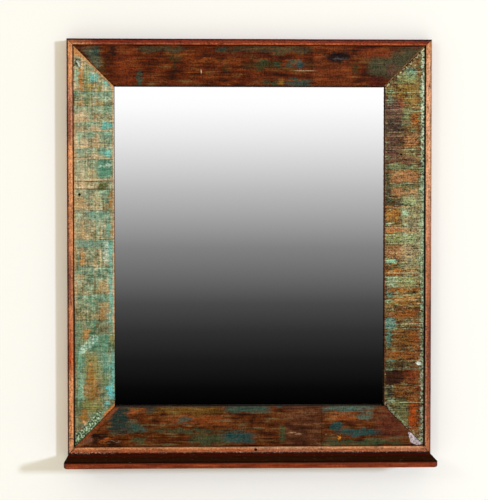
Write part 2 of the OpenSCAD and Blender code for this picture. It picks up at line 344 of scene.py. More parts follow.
def placed(name, data):
    """A new object at the origin, which holds a mesh, a lamp or a camera."""
    made = bpy.data.objects.new(name, data)
    bpy.context.scene.collection.objects.link(made)
    return made


def finished(name, build):
    """Turns a bmesh into an object."""
    mesh = bpy.data.meshes.new(name)
    settle(build, mesh)
    return placed(name, mesh)


def new_tree(name, *sizes):
    """An empty Geometry Nodes tree with a geometry in and out, and its sizes as named inputs."""
    tree = bpy.data.node_groups.new(name, "GeometryNodeTree")
    kinds = {"Geometry": "Geometry", **dict.fromkeys(sizes, "Float"), "Finish": "Material"}
    for entry, kind in kinds.items():
        tree.interface.new_socket(entry, in_out="INPUT", socket_type="NodeSocket" + kind)
    tree.interface.new_socket("Geometry", in_out="OUTPUT", socket_type="NodeSocketGeometry")
    outputs = tree.nodes.new("NodeGroupInput").outputs
    return tree, {out.name: Field(tree, out) for out in outputs if out.name}


def position_in(tree):
    """Where each point of a tree's mesh lies, in metres."""
    return node_of(tree, "GeometryNodeInputPosition", {})


def end_tree(tree, geometry, finish):
    """Ends a tree in Realize Instances and Set Material."""
    solid = node_of(tree, "GeometryNodeRealizeInstances", {"Geometry": geometry})
    dressed = node_of(tree, "GeometryNodeSetMaterial", {"Geometry": solid, "Material": finish})
    feed(tree.nodes.new("NodeGroupOutput").inputs[0], dressed)


def end_pressed(tree, entry, depth_mm):
    """Ends a tree that pushes its mesh's surface in along its normals by depth_mm."""
    normal = node_of(tree, "GeometryNodeInputNormal", {})
    shift = normal.vector("MULTIPLY", depth_mm * (-1 / mm_per_m))
    pressed = node_of(tree, "GeometryNodeSetPosition", {"Geometry": entry["Geometry"], "Offset": shift})
    end_tree(tree, pressed, entry["Finish"])


def applied(piece, modifier):
    """Leaves what a modifier makes as the piece's plain mesh."""
    made = bpy.data.meshes.new_from_object(piece.evaluated_get(bpy.context.evaluated_depsgraph_get()))
    piece.modifiers.remove(modifier)
    piece.data = made


def grow(piece, tree, sizes, material):
    """Runs a Geometry Nodes tree on a piece, and leaves the result as its plain mesh."""
    modifier = piece.modifiers.new("tree", "NODES")
    modifier.node_group = tree
    given = {"Finish": material, **{name: float(size) for name, size in sizes.items()}}
    for item in tree.interface.items_tree:
        if item.in_out == "INPUT" and item.name in given:
            modifier[item.identifier] = given[item.name]
    applied(piece, modifier)


def stand_for(piece, node_name):
    """Puts a finished piece in a CAD node's place, on its body."""
    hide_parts(node_name)
    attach(piece, "root")


def oval(point, right, down, half_wide, half_high):
    """A point's place in an oval round (right, down): its sides lie at 1 from the middle."""
    offset = (-right / half_wide, 0, -down / half_high)
    return point.vector("MULTIPLY_ADD", (1 / half_wide, 0, 1 / half_high), offset)


def disc(point, right, down, half_wide, half_high, soft=0.3):
    """1 inside an oval round (right, down), in millimetres, and 0 outside it."""
    return oval(point, right, down, half_wide, half_high).length().smooth(1 + soft, 1 - soft)


def block(point, right, down, half_wide, half_high, soft=0.7):
    """Like disc, but nearer to a rectangle."""
    away = oval(point, right, down, half_wide, half_high)
    return away.vector("MULTIPLY", away).length().smooth(1 + soft, 1 - soft)


def patch(point, corners, soft=1.5):
    """1 inside a convex outline of (right, down) corners, in millimetres, and 0 outside it."""
    centre = sum((Vector(corner) for corner in corners), Vector((0, 0))) / len(corners)
    covers = []
    for corner, after in zip(corners, (*corners[1:], corners[0])):
        along = Vector(after) - Vector(corner)
        inward = Vector((-along.y, along.x)).normalized()
        if inward.dot(centre - Vector(corner)) < 0:
            inward = -inward
        distance = point.vector("DOT_PRODUCT", (inward.x, 0, inward.y), out=1) - inward.dot(corner)
        covers.append(distance.smooth(-soft, soft))
    return math.prod(covers[1:], start=covers[0])


def board_point(point, side):
    """A point in millimetres from the board's own top left corner: right along x, down along z."""
    low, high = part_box("face_board_" + side)
    corner = (-low.x * mm_per_m, -low.y * mm_per_m, high.z * mm_per_m)
    return point.vector("MULTIPLY_ADD", (1, 1, -1), corner)


def weathered_tree(side, along, holes):
    """Relief of an old board: saw marks across it, raised fibres, dents, chipped mitres and nail holes."""
    tree, entry = new_tree("weathered_" + side, "Saw depth", "Fibre depth", "Dent depth", "Chip depth")
    place = position_in(tree).vector("MULTIPLY", (mm_per_m, mm_per_m, mm_per_m))
    point = board_point(place, side)
    right, depth, down = point.split()
    saw = noise(point, (60, 60, 2.6) if along == "z" else (2.6, 60, 60), detail=2, seed=41).smooth(0.35, 0.65)
    fibres = noise(point, along_grain(along, 45, 1.3), detail=3, seed=42)
    dents = noise(point, 9, detail=3, seed=43).smooth(0.6, 0.8)
    chips = noise(point, 3, detail=3, seed=44) * 6
    at_front = depth.smooth(6, 2)
    press = saw * entry["Saw depth"] + fibres * entry["Fibre depth"] + dents * entry["Dent depth"]
    wide = boards_wide if along == "x" else board_width
    tall = board_width if along == "x" else boards_tall
    mitres = {"top": ((1, -1, 0), (-1, -1, wide)), "bottom": ((1, 1, -tall), (-1, 1, wide - tall)),
              "left": ((-1, 1, 0), (-1, -1, tall)), "right": ((1, 1, -wide), (1, -1, tall - wide))}
    for across, along_z, start in mitres[side]:
        mitre = right * across + down * along_z + start
        press = press + (mitre + chips).smooth(6.5, 3) * entry["Chip depth"]
    for hole_right, hole_down, radius, hole_depth in holes:
        press = press + disc(point, hole_right, hole_down, radius, radius, 0.35) * hole_depth
    end_pressed(tree, entry, press * at_front)
    return tree


def swing(cloud, amount):
    """Noise turned to run round 0, as far as amount."""
    return (cloud - 0.5) * amount


def level(value, *stops):
    """The number that a value from 0 to 1 picks from a row of (place, number) stops."""
    return ramp(value, [(place, (number, number, number, 1.0)) for place, number in stops])


def torn(here, ragged_mm, size):
    """The same place, shifted about by noise, so that what is drawn there has a ragged outline."""
    sizes = size if isinstance(size, tuple) else (size, size, size)
    coarse, fine = (1, 2, 61), (0.35, 1, 62)
    for share, detail, seed in (coarse, fine):
        cloud = noise(here, tuple(s * share for s in sizes), detail, seed, out=1)
        pull = cloud.vector("SUBTRACT", (0.5, 0.5, 0.5))
        here = pull.vector("MULTIPLY_ADD", (ragged_mm * share, 0, ragged_mm * share), here)
    return here


def marked(colour, here, side, marks, ragged_mm, size, worn):
    """Lays each mark on the board's colour: a block of its own tone, ragged and worn through in flecks.

    A mark is (tone, left, right, top, foot, cover), its sides read off the photograph, in pixels.
    """
    low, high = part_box("face_board_" + side)
    board_left, board_top = (low.x - outer_line[0]) * mm_per_m, (outer_line[3] - high.z) * mm_per_m
    place = torn(here, ragged_mm, size)
    flecks = noise(here, tuple(s * 0.5 for s in size), detail=1, seed=63)
    kept = flecks.smooth(0.3, 0.6) * worn + (1 - worn)
    for tone, first, last, top, foot, cover in marks.values():
        right = ((first + last) / 2 - frame_left_pixel) * mm_per_pixel - board_left
        down = ((top + foot) / 2 - frame_top_pixel) * mm_per_pixel - board_top
        half_wide, half_high = (last - first) / 2 * mm_per_pixel, (foot - top) / 2 * mm_per_pixel
        colour = mix(block(place, right, down, half_wide, half_high) * kept * cover, colour, tone)
    return colour


def scored(colour, down, patchy, *rows):
    """Lays thin lines across the board, in rows of (half width, cover, colour, places down the board)."""
    for half, cover, tone, places in rows:
        for place in places:
            line = (down - place).maths("ABSOLUTE").smooth(half * 1.5, half * 0.5)
            colour = mix(line * patchy * cover, colour, tone)
    return colour


def new_board(side):
    """A board's empty finish: itself, its shader, a point on the board, and how far right and down it is."""
    finish, shader, point = new_finish(side + "_board")
    here = board_point(point, side)
    right, _, down = here.split()
    return finish, shader, here, right, down


def board_coat(shader, colour, here, along, paint_cover, grain, saw, grit, rough):
    """Ends a board's finish: grain, saw and speck shading, sides darker behind the front face, dirt, sheen
    and fine relief.
    """
    fibres = noise(here, along_grain(along, 34, 1.5), detail=3, seed=71)
    kerfs = noise(here, (1.7, 40, 12) if along == "x" else (22, 40, 1.8), detail=2, seed=72)
    specks = noise(here, (2.3, 2.3, 2.1), detail=2, seed=74)
    wear = noise(here, (11, 11, 7), detail=2, seed=76)
    dirt = noise(here, 1.8, detail=2, seed=73).smooth(0.62, 0.74)
    front = here.split()[1].smooth(4, 2)
    shade = swing(fibres, grain) + swing(kerfs, saw) + swing(specks, grit) + swing(wear, 0.5) + 1.0
    shaded = mix(dirt * 0.5, mix(front, (34, 24, 16), colour), (22, 14, 10)).vector("MULTIPLY", shade)
    relief = fibres * 0.5 + kerfs * 0.3 + paint_cover * 0.4 + specks * 0.3 - dirt * 0.4
    coat(shader, shaded, swing(fibres, 0.3) + paint_cover * 0.08 + rough, relief, relief_mm=0.22,
         Specular_IOR_Level=front * 0.06)


def face_board(side, along, finish, saw_depth, fibre_depth, holes=()):
    """One board: its blank, its weathered relief, its finish and its place on the frame."""
    piece = mitred_blank("reclaimed_board_" + side, side, strip_line, opening, board_front, board_back,
                         board_ease, board_pitch)
    sizes = {"Saw depth": saw_depth, "Fibre depth": fibre_depth, "Dent depth": 0.35, "Chip depth": 0.5}
    grow(piece, weathered_tree(side, along, holes), sizes, finish)
    stand_for(piece, "face_board_" + side)


# The left board: ochre wood under saw bands, each green at its top and worn to the wood lower down.
left_finish, shader, here, right, down = new_board("left")
waver = swing(noise(here, (26, 26, 9), detail=2, seed=51), 7)
band_tops, bands_end = (88, 114.5, 143.5, 161.5, 194.5, 213.5, 271, 311.5, 366.5, 418, 470, 519), 600
band_stops = [(0, 0.5)]
for top in band_tops:
    band_stops += [((top - 1) / boards_tall, 0.15), ((top + 1) / boards_tall, 0.95)]
band_stops += [(bands_end / boards_tall, 0.5), (1, 0.6)]
kept_down = level((down + waver) * (1 / boards_tall), *band_stops)
kept_across = level((right + waver * 0.6) * (1 / board_width), (0, 0.0), (0.08, 0.15), (0.12, 0.6),
                    (0.2, 0.3), (0.34, 0.6), (0.45, 0.5), (0.52, 0.3), (0.62, 0.5), (0.78, 0.85),
                    (0.95, 0.75), (0.97, 0.0))
grain = noise(here, (2.6, 3, 60), detail=3, seed=52)
cells = noise(here, (4.4, 4.4, 2.8), detail=2, seed=54)
patches = noise(here, (10, 10, 6), detail=1, seed=50)
clouds = noise(here, (15, 15, 9), detail=2, seed=58)
streaks = noise(here, (7, 7, 80), detail=2, seed=64)
cover = kept_down * 0.55 + kept_across * 0.4 + swing(clouds, 0.7) + swing(patches, 0.6) + swing(grain, 0.3)
cover = (cover + swing(streaks, 0.8)).smooth(0.0, 0.9)
figure = swing(grain, 0.7) + swing(cells, 0.8) + noise(here, (16, 16, 25), detail=2, seed=55)
wood = tones(figure, (0.28, 104, 88, 54), (0.42, 146, 122, 80), (0.55, 178, 148, 106), (0.72, 212, 180, 140))
layers = swing(cells, 0.7) + swing(grain, 0.4) + noise(here, (9, 9, 12), detail=2, seed=56)
paint = tones(layers, (0.28, 76, 102, 84), (0.45, 110, 138, 112), (0.6, 136, 162, 134), (0.8, 178, 200, 174))
black_olive, dark_green, olive, moss = (44, 44, 24), (66, 78, 20), (126, 122, 34), (100, 124, 78)
sage, seafoam, white = (134, 158, 112), (140, 190, 160), (216, 232, 212)
turquoise, aqua, teal, deep_teal = (98, 182, 172), (92, 188, 188), (92, 152, 134), (66, 128, 104)
slate, brown, rust = (94, 134, 120), (132, 84, 34), (160, 80, 38)
orange, apricot, peach, sand = (186, 120, 52), (186, 146, 92), (206, 172, 132), (184, 164, 116)
gold, ochre, ochre_gold = (150, 128, 46), (152, 104, 46), (166, 102, 20)
left_marks = {
    "dark blemish": (black_olive, 74, 81, 58, 68, 0.95),
    "white fleck in it": (white, 77.5, 79.5, 61, 65.5, 0.85),
    "seafoam edge": (seafoam, 74, 77.5, 68, 84, 0.6),
    "orange streak": (orange, 78.5, 82, 69, 91, 0.85),
    "sage stretch": (sage, 83, 90, 66, 84, 0.5),
    "turquoise flakes": (turquoise, 89, 98, 72, 82, 0.75),
    "white dots": (white, 90, 93, 72, 75, 0.6),
    "gold cells": (gold, 83, 92, 84, 91, 0.6),
    "olive knot": (olive, 97, 101, 85, 91, 0.8),
    "turquoise corner": (turquoise, 103, 109, 81, 88, 0.6),
    "green haze": (moss, 84, 91, 93, 106, 0.6),
    "orange dash": (apricot, 77, 84, 101, 104, 0.7),
    "gold row": (gold, 95, 104, 101, 105, 0.4),
    "moss column": (moss, 102, 104, 106, 122, 0.6),
    "peach field": (peach, 75, 88, 110, 121, 0.55),
    "brown run": (brown, 93, 97, 112, 121, 0.7),
    "turquoise patch": (turquoise, 101, 112, 122, 129, 0.85),
    "seafoam flake": (seafoam, 77, 82, 132, 142, 0.6),
    "slate patch": (slate, 101, 112, 132, 137, 0.7),
    "brown stain": (brown, 93, 97, 128, 147, 0.4),
    "tan field": (peach, 82, 100, 138, 147, 0.35),
    "teal left block": (teal, 77, 84, 148, 155, 0.6),
    "teal right block": (teal, 97, 112, 148, 156, 0.65),
    "turquoise in it": (turquoise, 104, 110, 150, 156, 0.7),
    "strong teal": (deep_teal, 95, 113, 160, 178, 0.8),
    "white ripple": (white, 98, 112, 164, 166.5, 0.5),
    "tan foot": (sand, 85, 96, 168, 178, 0.5),
    "bare line": (peach, 92, 113, 178, 180, 0.7),
    "dark green patch": (dark_green, 98, 106, 181, 189.5, 0.9),
    "gold field": (apricot, 74, 82, 196, 208, 0.7),
    "tan centre": (sand, 93, 98, 188, 209, 0.5),
    "ochre strip": (ochre, 108.5, 113, 191, 211, 0.85),
    "slate row": (slate, 84, 108, 211, 218, 0.6),
    "lower ochre strip": (ochre, 109.5, 113, 212, 238, 0.6),
    "orange cells": (apricot, 79, 84, 219, 236, 0.5),
    "teal strip": (teal, 105, 109, 222, 238, 0.75),
    "slate row below": (slate, 75, 103, 240, 247, 0.6),
    "white column": (white, 103, 107, 241, 262, 0.6),
    "turquoise column": (turquoise, 107, 112, 241, 268, 0.6),
    "orange column": (orange, 79, 83, 247, 265, 0.65),
    "red spot": (rust, 96, 99, 248, 252, 0.7),
    "orange row": (apricot, 75, 84, 274, 277, 0.7),
    "orange field": (apricot, 97, 107, 280, 293, 0.6),
    "turquoise rim": (turquoise, 108.5, 112.5, 270, 322, 0.6),
    "lower turquoise rim": (turquoise, 110, 114.5, 352, 392, 0.65),
    "teal field by it": (teal, 97, 110, 352, 372, 0.5),
    "gold field by the flame": (gold, 84, 100, 354, 380, 0.45),
    "flecks by the flame": (seafoam, 77, 80, 350, 372, 0.6),
    "dark teal foot": (deep_teal, 76, 84, 345, 372, 0.45),
    "orange cap": (apricot, 98, 108, 302, 306, 0.8),
    "brown block": (ochre, 98, 107, 306, 320, 0.7),
    "dark teal dot": (deep_teal, 91, 94, 321, 326, 0.8),
    "brown cloud": (brown, 96, 109, 322, 334, 0.45),
    "orange blotch": (orange, 82, 88, 329, 340, 0.75),
    "gold flake": (gold, 108, 113, 335, 342, 0.7),
    "dark teal field": (deep_teal, 88, 108, 334, 352, 0.6),
    "olive notch": (dark_green, 110, 114, 346, 351, 0.8),
    "flame tip": (orange, 87, 91, 360, 374, 0.5),
    "flame": (ochre_gold, 84, 98, 379, 400, 0.65),
    "flame's neck": (ochre_gold, 86, 93, 370, 382, 0.6),
    "seafoam column": (seafoam, 77, 83, 372, 400, 0.6),
    "moss ring": (moss, 100, 107, 374, 388, 0.6),
    "blue flake": (aqua, 106, 113, 385, 398, 0.9),
    "blue dot": (aqua, 104, 108, 400, 404, 0.8),
    "gold foot": (gold, 82, 100, 399, 412, 0.5),
    "orange foot": (ochre_gold, 79, 86, 410, 424, 0.8),
    "peach foot": (peach, 82, 86, 420, 426, 0.7),
    "brown spot": (rust, 78, 82, 427, 431, 0.8),
}
pale_stretch = right.smooth(34, 12) * down.smooth(130, 170) * down.smooth(410, 330)
colour = layered(mix(cover, wood, paint), (pale_stretch * 0.25, (222, 204, 166)),
                 (down.smooth(440, 500) * right.smooth(56, 40) * 0.22, (34, 104, 66)),
                 (down.smooth(480, 580) * 0.36, (28, 70, 30)))
colour = marked(colour, here, "left", left_marks, ragged_mm=20, size=(9, 9, 5), worn=0.45)
scrape = patch(torn(here, 9, (6, 6, 5)),
               ((9, 584), (14, 568), (26, 556), (36, 548), (47, 548), (46, 557), (36, 568), (22, 578)))
scraped = tones(cells, (0.3, 104, 150, 126), (0.5, 160, 190, 166), (0.7, 208, 222, 202))
colour = mix(scrape * grain.smooth(0.3, 0.5) * 0.75, colour, scraped)
patchy = noise(here, 14, detail=1, seed=57).smooth(0.3, 0.5)
dark_line, pale_line = (54, 46, 22), (216, 184, 142)
colour = scored(colour, down + waver * 0.25, patchy,
                (0.9, 0.45, dark_line, (88, 114.5, 311.5, 366.5, 418, 470, 519)),
                (1.0, 0.5, pale_line, (143.5, 161.5, 213.5, 253.5)),
                (1.1, 0.85, dark_line, (256,)), (1.1, 0.8, dark_line, (271,)))
top_mitre = (down - right) * square_to_mitre
low_mitre = (down + right - boards_tall) * -square_to_mitre
wedge = right.smooth(24, 3) * 7 + 3.2
rough_edge = swing(noise(here, 5, detail=3, seed=59), 4)
flecks = noise(here, 3.2, detail=2, seed=60)
flaked = tones(flecks, (0.38, 36, 52, 28), (0.48, 84, 112, 72), (0.6, 196, 218, 186))
# The width of the painted shade line along the board's outer edge, by the strip: it widens towards the
# bottom.
shade_line_width = down.smooth(420, 520) * 1.6 + 0.7
nail_hole, hole_r, hole_depth = (11.5, 281.5), 1.8, 4
colour = layered(colour, ((top_mitre + rough_edge - wedge).smooth(1.2, -1.2) * 0.85, (192, 128, 72)),
                 ((low_mitre + rough_edge).smooth(6.5, 4) * right.smooth(52, 60) * 0.9, (196, 116, 56)),
                 (right.smooth(73.5, 75.5) * down.smooth(560, 530) * 0.85, (206, 156, 112)),
                 # painted highlight: the lit inner face of the left strip, laid on the board's outer edge
                 (right.smooth(5, 2) * down.smooth(110, 150) * 0.5, (196, 150, 100)),
                 ((low_mitre + rough_edge * 2).smooth(17, 13) * right.smooth(58, 44) * 0.8, flaked),
                 # painted shade in the joint with the left strip
                 ((right + swing(cells, 2) - shade_line_width).smooth(1.4, 0) * 0.9, (24, 18, 10)),
                 (disc(here, *nail_hole, 2.6, 2.6) * 0.95, (34, 20, 12)))
board_coat(shader, colour, here, "z", cover, grain=1.2, saw=1.6, grit=1.8, rough=0.55)
face_board("left", "z", left_finish, saw_depth=0.35, fibre_depth=0.25,
           holes=[(*nail_hole, hole_r, hole_depth)])

# The right board: rust and olive wood, with seafoam paint left on the crests of its saw marks.
right_finish, shader, here, right, down = new_board("right")
waver = swing(noise(here, (26, 26, 9), detail=2, seed=81), 5)
grain = noise(here, (2.6, 3, 50), detail=3, seed=82)
saw = noise(here, (34, 3, 2.1), detail=2, seed=83)
cells = noise(here, (6, 6, 3), detail=3, seed=84)
clouds = noise(here, (20, 20, 9), detail=2, seed=85)
figure = swing(grain, 0.5) + swing(cells, 0.6) + swing(saw, 0.8) + clouds
wood = tones(figure, (0.3, 64, 42, 22), (0.42, 108, 68, 32), (0.54, 128, 94, 50), (0.66, 128, 108, 60),
             (0.78, 164, 124, 76))
layers = swing(cells, 0.6) + swing(saw, 1.2) + noise(here, (8, 8, 6), detail=2, seed=86)
paint = tones(layers, (0.28, 48, 66, 42), (0.45, 88, 110, 72), (0.6, 120, 146, 106), (0.78, 182, 200, 166))
patches = noise(here, (20, 14, 5), detail=1, seed=80)
cover = swing(saw, 0.3) + swing(patches, 1.6) + swing(clouds, 0.8) + 0.22
cover = (cover + right.smooth(63, 70) * 0.25 + right.smooth(26, 12) * 0.1).smooth(0.15, 0.75)
bronze, ochre, tan, umber = (134, 106, 44), (166, 112, 48), (162, 112, 72), (110, 74, 56)
rust, deep_rust, amber, orange_tan = (152, 84, 30), (142, 58, 22), (166, 98, 32), (172, 106, 58)
burnt, flame, maroon, plum, soot = (138, 84, 30), (190, 78, 10), (56, 16, 8), (86, 58, 50), (40, 36, 30)
sage, moss, pale_green = (134, 146, 94), (106, 122, 84), (164, 192, 154)
right_marks = {
    "teal flecks": (teal, 403, 416, 66, 77, 0.45),
    "sage stretch": (sage, 396, 418, 74, 83, 0.6),
    "bronze band": (bronze, 394, 416, 85, 91, 0.75),
    "seafoam streak": (seafoam, 387, 392, 95, 103, 0.45),
    "bronze spot": (bronze, 396, 404, 92, 97, 0.6),
    "rust spot": (deep_rust, 395, 404, 98, 108, 0.85),
    "gold spot": (bronze, 406, 416, 97, 106, 0.5),
    "green patch": (moss, 402, 412, 106, 121, 0.75),
    "rust patch": (rust, 410, 418, 113, 125, 0.8),
    "upper dusk": (plum, 385, 402, 98, 134, 0.95),
    "dark lines": (soot, 385, 408, 119, 133, 0.6),
    "middle dusk": (plum, 385, 400, 134, 162, 0.85),
    "tan field": (tan, 402, 418, 135, 146, 0.75),
    "dark spot": (soot, 404, 408, 132, 137, 0.7),
    "grey field": (moss, 402, 418, 147, 151, 0.5),
    "brown field": (umber, 390, 418, 155, 163, 0.7),
    "green lines": (moss, 386, 416, 163, 169, 0.7),
    "tan band": (tan, 391, 417, 170, 181, 0.85),
    "grey green lines": (moss, 386, 416, 182, 187, 0.7),
    "tan band below": (tan, 391, 416, 188, 195, 0.85),
    "lower dusk": (soot, 385, 390, 160, 205, 0.7),
    "green field": (sage, 401, 417, 196, 206, 0.7),
    "soot lines": (soot, 385, 402, 198, 206, 0.7),
    "ochre block": (ochre, 385, 398, 208, 219, 0.9),
    "grey green spot": (seafoam, 401, 409, 208, 216, 0.6),
    "pale blob": (pale_green, 403, 408, 222, 226, 0.6),
    "orange band": (orange_tan, 385, 418, 227, 232, 0.85),
    "green gold lines": (sage, 385, 418, 233, 243, 0.7),
    "second pale blob": (pale_green, 403, 407, 233, 237, 0.55),
    "ochre field": (tan, 385, 416, 245, 259, 0.75),
    "seafoam line": (seafoam, 385, 397, 260, 263, 0.7),
    "knot": (soot, 408, 412, 258, 263, 0.85),
    "amber band": (amber, 385, 417, 269, 274, 0.9),
    "seafoam lines": (pale_green, 386, 398, 276, 287, 0.5),
    "sage by them": (sage, 398, 417, 276, 286, 0.6),
    "orange line": (amber, 385, 417, 288, 290, 0.7),
    "teal flake": (teal, 386, 393, 291, 296, 0.6),
    "ochre field below": (ochre, 392, 417, 296, 304, 0.7),
    "rust band": (rust, 386, 417, 310, 318, 0.85),
    "turquoise lines": (turquoise, 385, 396, 318, 329, 0.5),
    "brown figure": (burnt, 394, 414, 331, 346, 0.75),
    "teal column": (teal, 387, 391, 330, 346, 0.7),
    "rust edge": (rust, 411, 417, 331, 345, 0.7),
    "second rust band": (rust, 385, 418, 352, 359, 0.95),
    "teal blob": (teal, 387, 395, 359, 362, 0.8),
    "dark lines below": (soot, 386, 415, 363, 368, 0.5),
    "rust by it": (deep_rust, 405, 417, 370, 384, 0.85),
    "soot spot": (soot, 387, 393, 386, 399, 0.9),
    "rust field": (rust, 396, 417, 387, 398, 0.75),
    "pale fleck": (pale_green, 388, 395, 398, 404, 0.7),
    "green swirl": (sage, 395, 408, 400, 425, 0.6),
    "flame": (flame, 410, 417, 401, 431, 0.95),
}
colour = layered(mix(cover, wood, paint), (right.smooth(38, 62) * down.smooth(500, 540) * 0.35, (160, 62, 4)))
colour = marked(colour, here, "right", right_marks, ragged_mm=18, size=(12, 12, 4), worn=0.4)
block_edge = torn(here, 8, (8, 8, 6))
maroon_block = patch(block_edge, ((3, 615), (58, 614), (48, 627), (30, 642), (3, 643)), 1.2)
colour = mix(maroon_block * 0.94, colour, mix(right.smooth(24, 50), maroon, (112, 52, 20)))
patchy = noise(here, 14, detail=1, seed=89).smooth(0.3, 0.5)
green_line, tan_line, orange_line, low_line = (170, 196, 158), (176, 150, 118), (176, 96, 44), (190, 196, 150)
colour = scored(colour, down + waver * 0.4, patchy,
                (0.9, 0.6, dark_line, (130, 139, 150, 188, 262, 300, 412, 560, 601, 604, 608, 612)),
                (0.9, 0.45, green_line, (260, 344, 358, 374, 430, 438, 446, 455, 481, 519, 527, 536, 613)),
                (0.8, 0.4, tan_line, (112, 121, 146, 163, 171, 196, 212)),
                (1.0, 0.7, orange_line, (305,)), (0.9, 0.7, low_line, (677,)))
flecks = noise(here, 3.2, detail=2, seed=88)
outer_edge = (right + swing(flecks, 9)).smooth(68.5, 71)
pale = level(down * (1 / boards_tall), (0, 1), (0.16, 0.9), (0.3, 0.3), (0.78, 0.35), (0.86, 0.9))
crust = tones(flecks, (0.4, 38, 40, 24), (0.47, 96, 120, 90), (0.62, 136, 164, 130))
pale_crust = tones(flecks, (0.4, 70, 60, 34), (0.46, 150, 168, 132), (0.6, 212, 218, 190))
top_mitre = (down + right - board_width) * square_to_mitre
low_mitre = (right - down + (boards_tall - board_width)) * square_to_mitre
chipped = tones(flecks, (0.4, 56, 36, 22), (0.5, 132, 100, 60), (0.62, 186, 190, 148))
low_flecks = (low_mitre + swing(flecks, 8)).smooth(9, 5) * flecks.smooth(0.45, 0.55)
nail_hole, hole_r, hole_depth = (31, 205), 1.6, 4
pale_dab = (66, 602.5)
pale_middle = right.smooth(22, 42) * down.smooth(260, 300) * down.smooth(450, 410)
colour = layered(colour, (outer_edge * 0.85, mix(pale, crust, pale_crust)),
                 ((top_mitre + swing(flecks, 6)).smooth(8, 5) * 0.7, chipped),
                 (low_flecks * 0.7, (186, 206, 160)),
                 (right.smooth(2.2, 0.8) * 0.8, (118, 66, 38)),
                 (pale_middle * 0.3, (166, 178, 140)),
                 (down.smooth(420, 600) * 0.42, (30, 18, 2)),
                 # painted shadow that the right strip casts on the board's outer edge
                 (right.smooth(73.8, 75.2) * 0.96, (14, 9, 6)),
                 (disc(torn(here, 6, 5), *pale_dab, 4.4, 3.6) * 0.9, (200, 212, 202)),
                 (disc(here, *nail_hole, 2.6, 2.2) * 0.9, (30, 16, 10)))
board_coat(shader, colour, here, "z", cover, grain=0.9, saw=2.7, grit=3.6, rough=0.52)
face_board("right", "z", right_finish, saw_depth=0.45, fibre_depth=0.2,
           holes=[(*nail_hole, hole_r, hole_depth)])

# The top board: dark red-brown lacquer on long straight grain, rubbed through to grey-green and teal.
top_finish, shader, here, right, down = new_board("top")
grain = noise(here, (70, 3, 1.7), detail=3, seed=91)
streaks = noise(here, (46, 5, 4.5), detail=2, seed=92)
clouds = noise(here, (34, 30, 12), detail=3, seed=93)
figure = swing(grain, 0.5) + swing(streaks, 0.6) + clouds
wood = tones(figure, (0.25, 38, 12, 1), (0.42, 73, 26, 2), (0.56, 97, 37, 3), (0.75, 126, 57, 12))
paint = tones(clouds + swing(grain, 0.5), (0.3, 34, 38, 18), (0.5, 60, 58, 28), (0.7, 84, 84, 46))
cover = (swing(streaks, 1.6) + swing(clouds, 1.4) + swing(grain, 0.6) + 0.3).smooth(0.3, 0.8)
soot, olive, grey_green, green = (26, 14, 6), (50, 44, 18), (58, 62, 40), (40, 66, 40)
teal, blue_green, blue_teal = (42, 68, 54), (34, 66, 58), (16, 66, 66)
red_brown, maroon, purple = (116, 46, 16), (62, 14, 6), (92, 56, 44)
orange, gold = (142, 74, 26), (128, 92, 24)
top_marks = {
    "blue green end": (blue_green, 93, 99, 46, 56, 0.7),
    "dark knot": (soot, 110, 117, 48, 54, 0.95),
    "specks": (soot, 104, 112, 57, 65, 0.45),
    "olive spot": (olive, 98, 106, 64, 72, 0.7),
    "redder stretch": (red_brown, 115, 136, 48, 84, 0.5),
    "grey green band": (grey_green, 136, 186, 47, 52, 0.75),
    "green oval": (olive, 168, 181, 57, 61, 0.85),
    "drip from it": (olive, 172, 175, 60, 71, 0.8),
    "teal drip": (teal, 136, 141, 70, 85, 0.8),
    "grey teal patch": (teal, 216, 225, 45, 52, 0.75),
    "grey haze": (grey_green, 225, 285, 45, 52, 0.5),
    "dark red streak": (maroon, 226, 280, 53, 57, 0.6),
    "orange streaks": (orange, 188, 236, 59, 62, 0.5),
    "dark blotch": (olive, 221, 229, 64, 70, 0.6),
    "teal green patch": (green, 254, 267, 60, 67, 0.9),
    "olive spread": (olive, 243, 284, 62, 69, 0.75),
    "small green patch": (green, 273, 281, 60, 66, 0.7),
    "blue teal patch": (teal, 286, 293, 59, 67, 0.8),
    "deep blue patch": (blue_teal, 295, 304, 60, 67, 0.95),
    "dark end": (olive, 304, 312, 60, 67, 0.6),
    "grey blue haze": (grey_green, 270, 311, 46, 53, 0.6),
    "lower green row": (green, 262, 279, 79, 84, 0.8),
    "gold dash": (gold, 279, 284, 79, 84, 0.85),
    "lower teal row": (blue_green, 285, 311, 78, 85, 0.85),
    "green spot": (olive, 352, 358, 62, 72, 0.85),
    "red stretch": (red_brown, 360, 392, 48, 56, 0.7),
    "purple stretch": (purple, 386, 396, 62, 74, 0.7),
    "maroon foot": (maroon, 368, 385, 77, 84, 0.9),
}
wedge_edge = torn(here, 16, (16, 6, 6))
left_wedge = patch(wedge_edge, ((16, 8), (50, 6), (52, 46), (44, 42)), 6)
right_wedge = patch(wedge_edge, ((556, 26), (640, 2), (664, 4), (602, 62), (560, 56)), 9)
worn_green = tones(clouds + swing(streaks, 0.8), (0.35, 44, 58, 44), (0.6, 88, 106, 84))
colour = layered(mix(cover * 0.6, wood, paint), (left_wedge * 0.75, worn_green),
                 (right_wedge * 0.75, (60, 70, 48)))
colour = marked(colour, here, "top", top_marks, ragged_mm=24, size=(20, 8, 6), worn=0.25)
knot_edge = torn(here, 11, (8, 4, 4))
bare_from, bare_to = 452, 526
bare = (right - bare_from).smooth(-1.5, 1.5) * (right - bare_to).smooth(3, -3)
bare_tone = tones(figure, (0.25, 72, 30, 8), (0.5, 102, 45, 14), (0.75, 128, 62, 26))
knot, knot_shine, white_drop, scratch = (500, 22), (503, 25), (242, 50), (436, 47.5)
mitre = (right + down - boards_wide) * -square_to_mitre
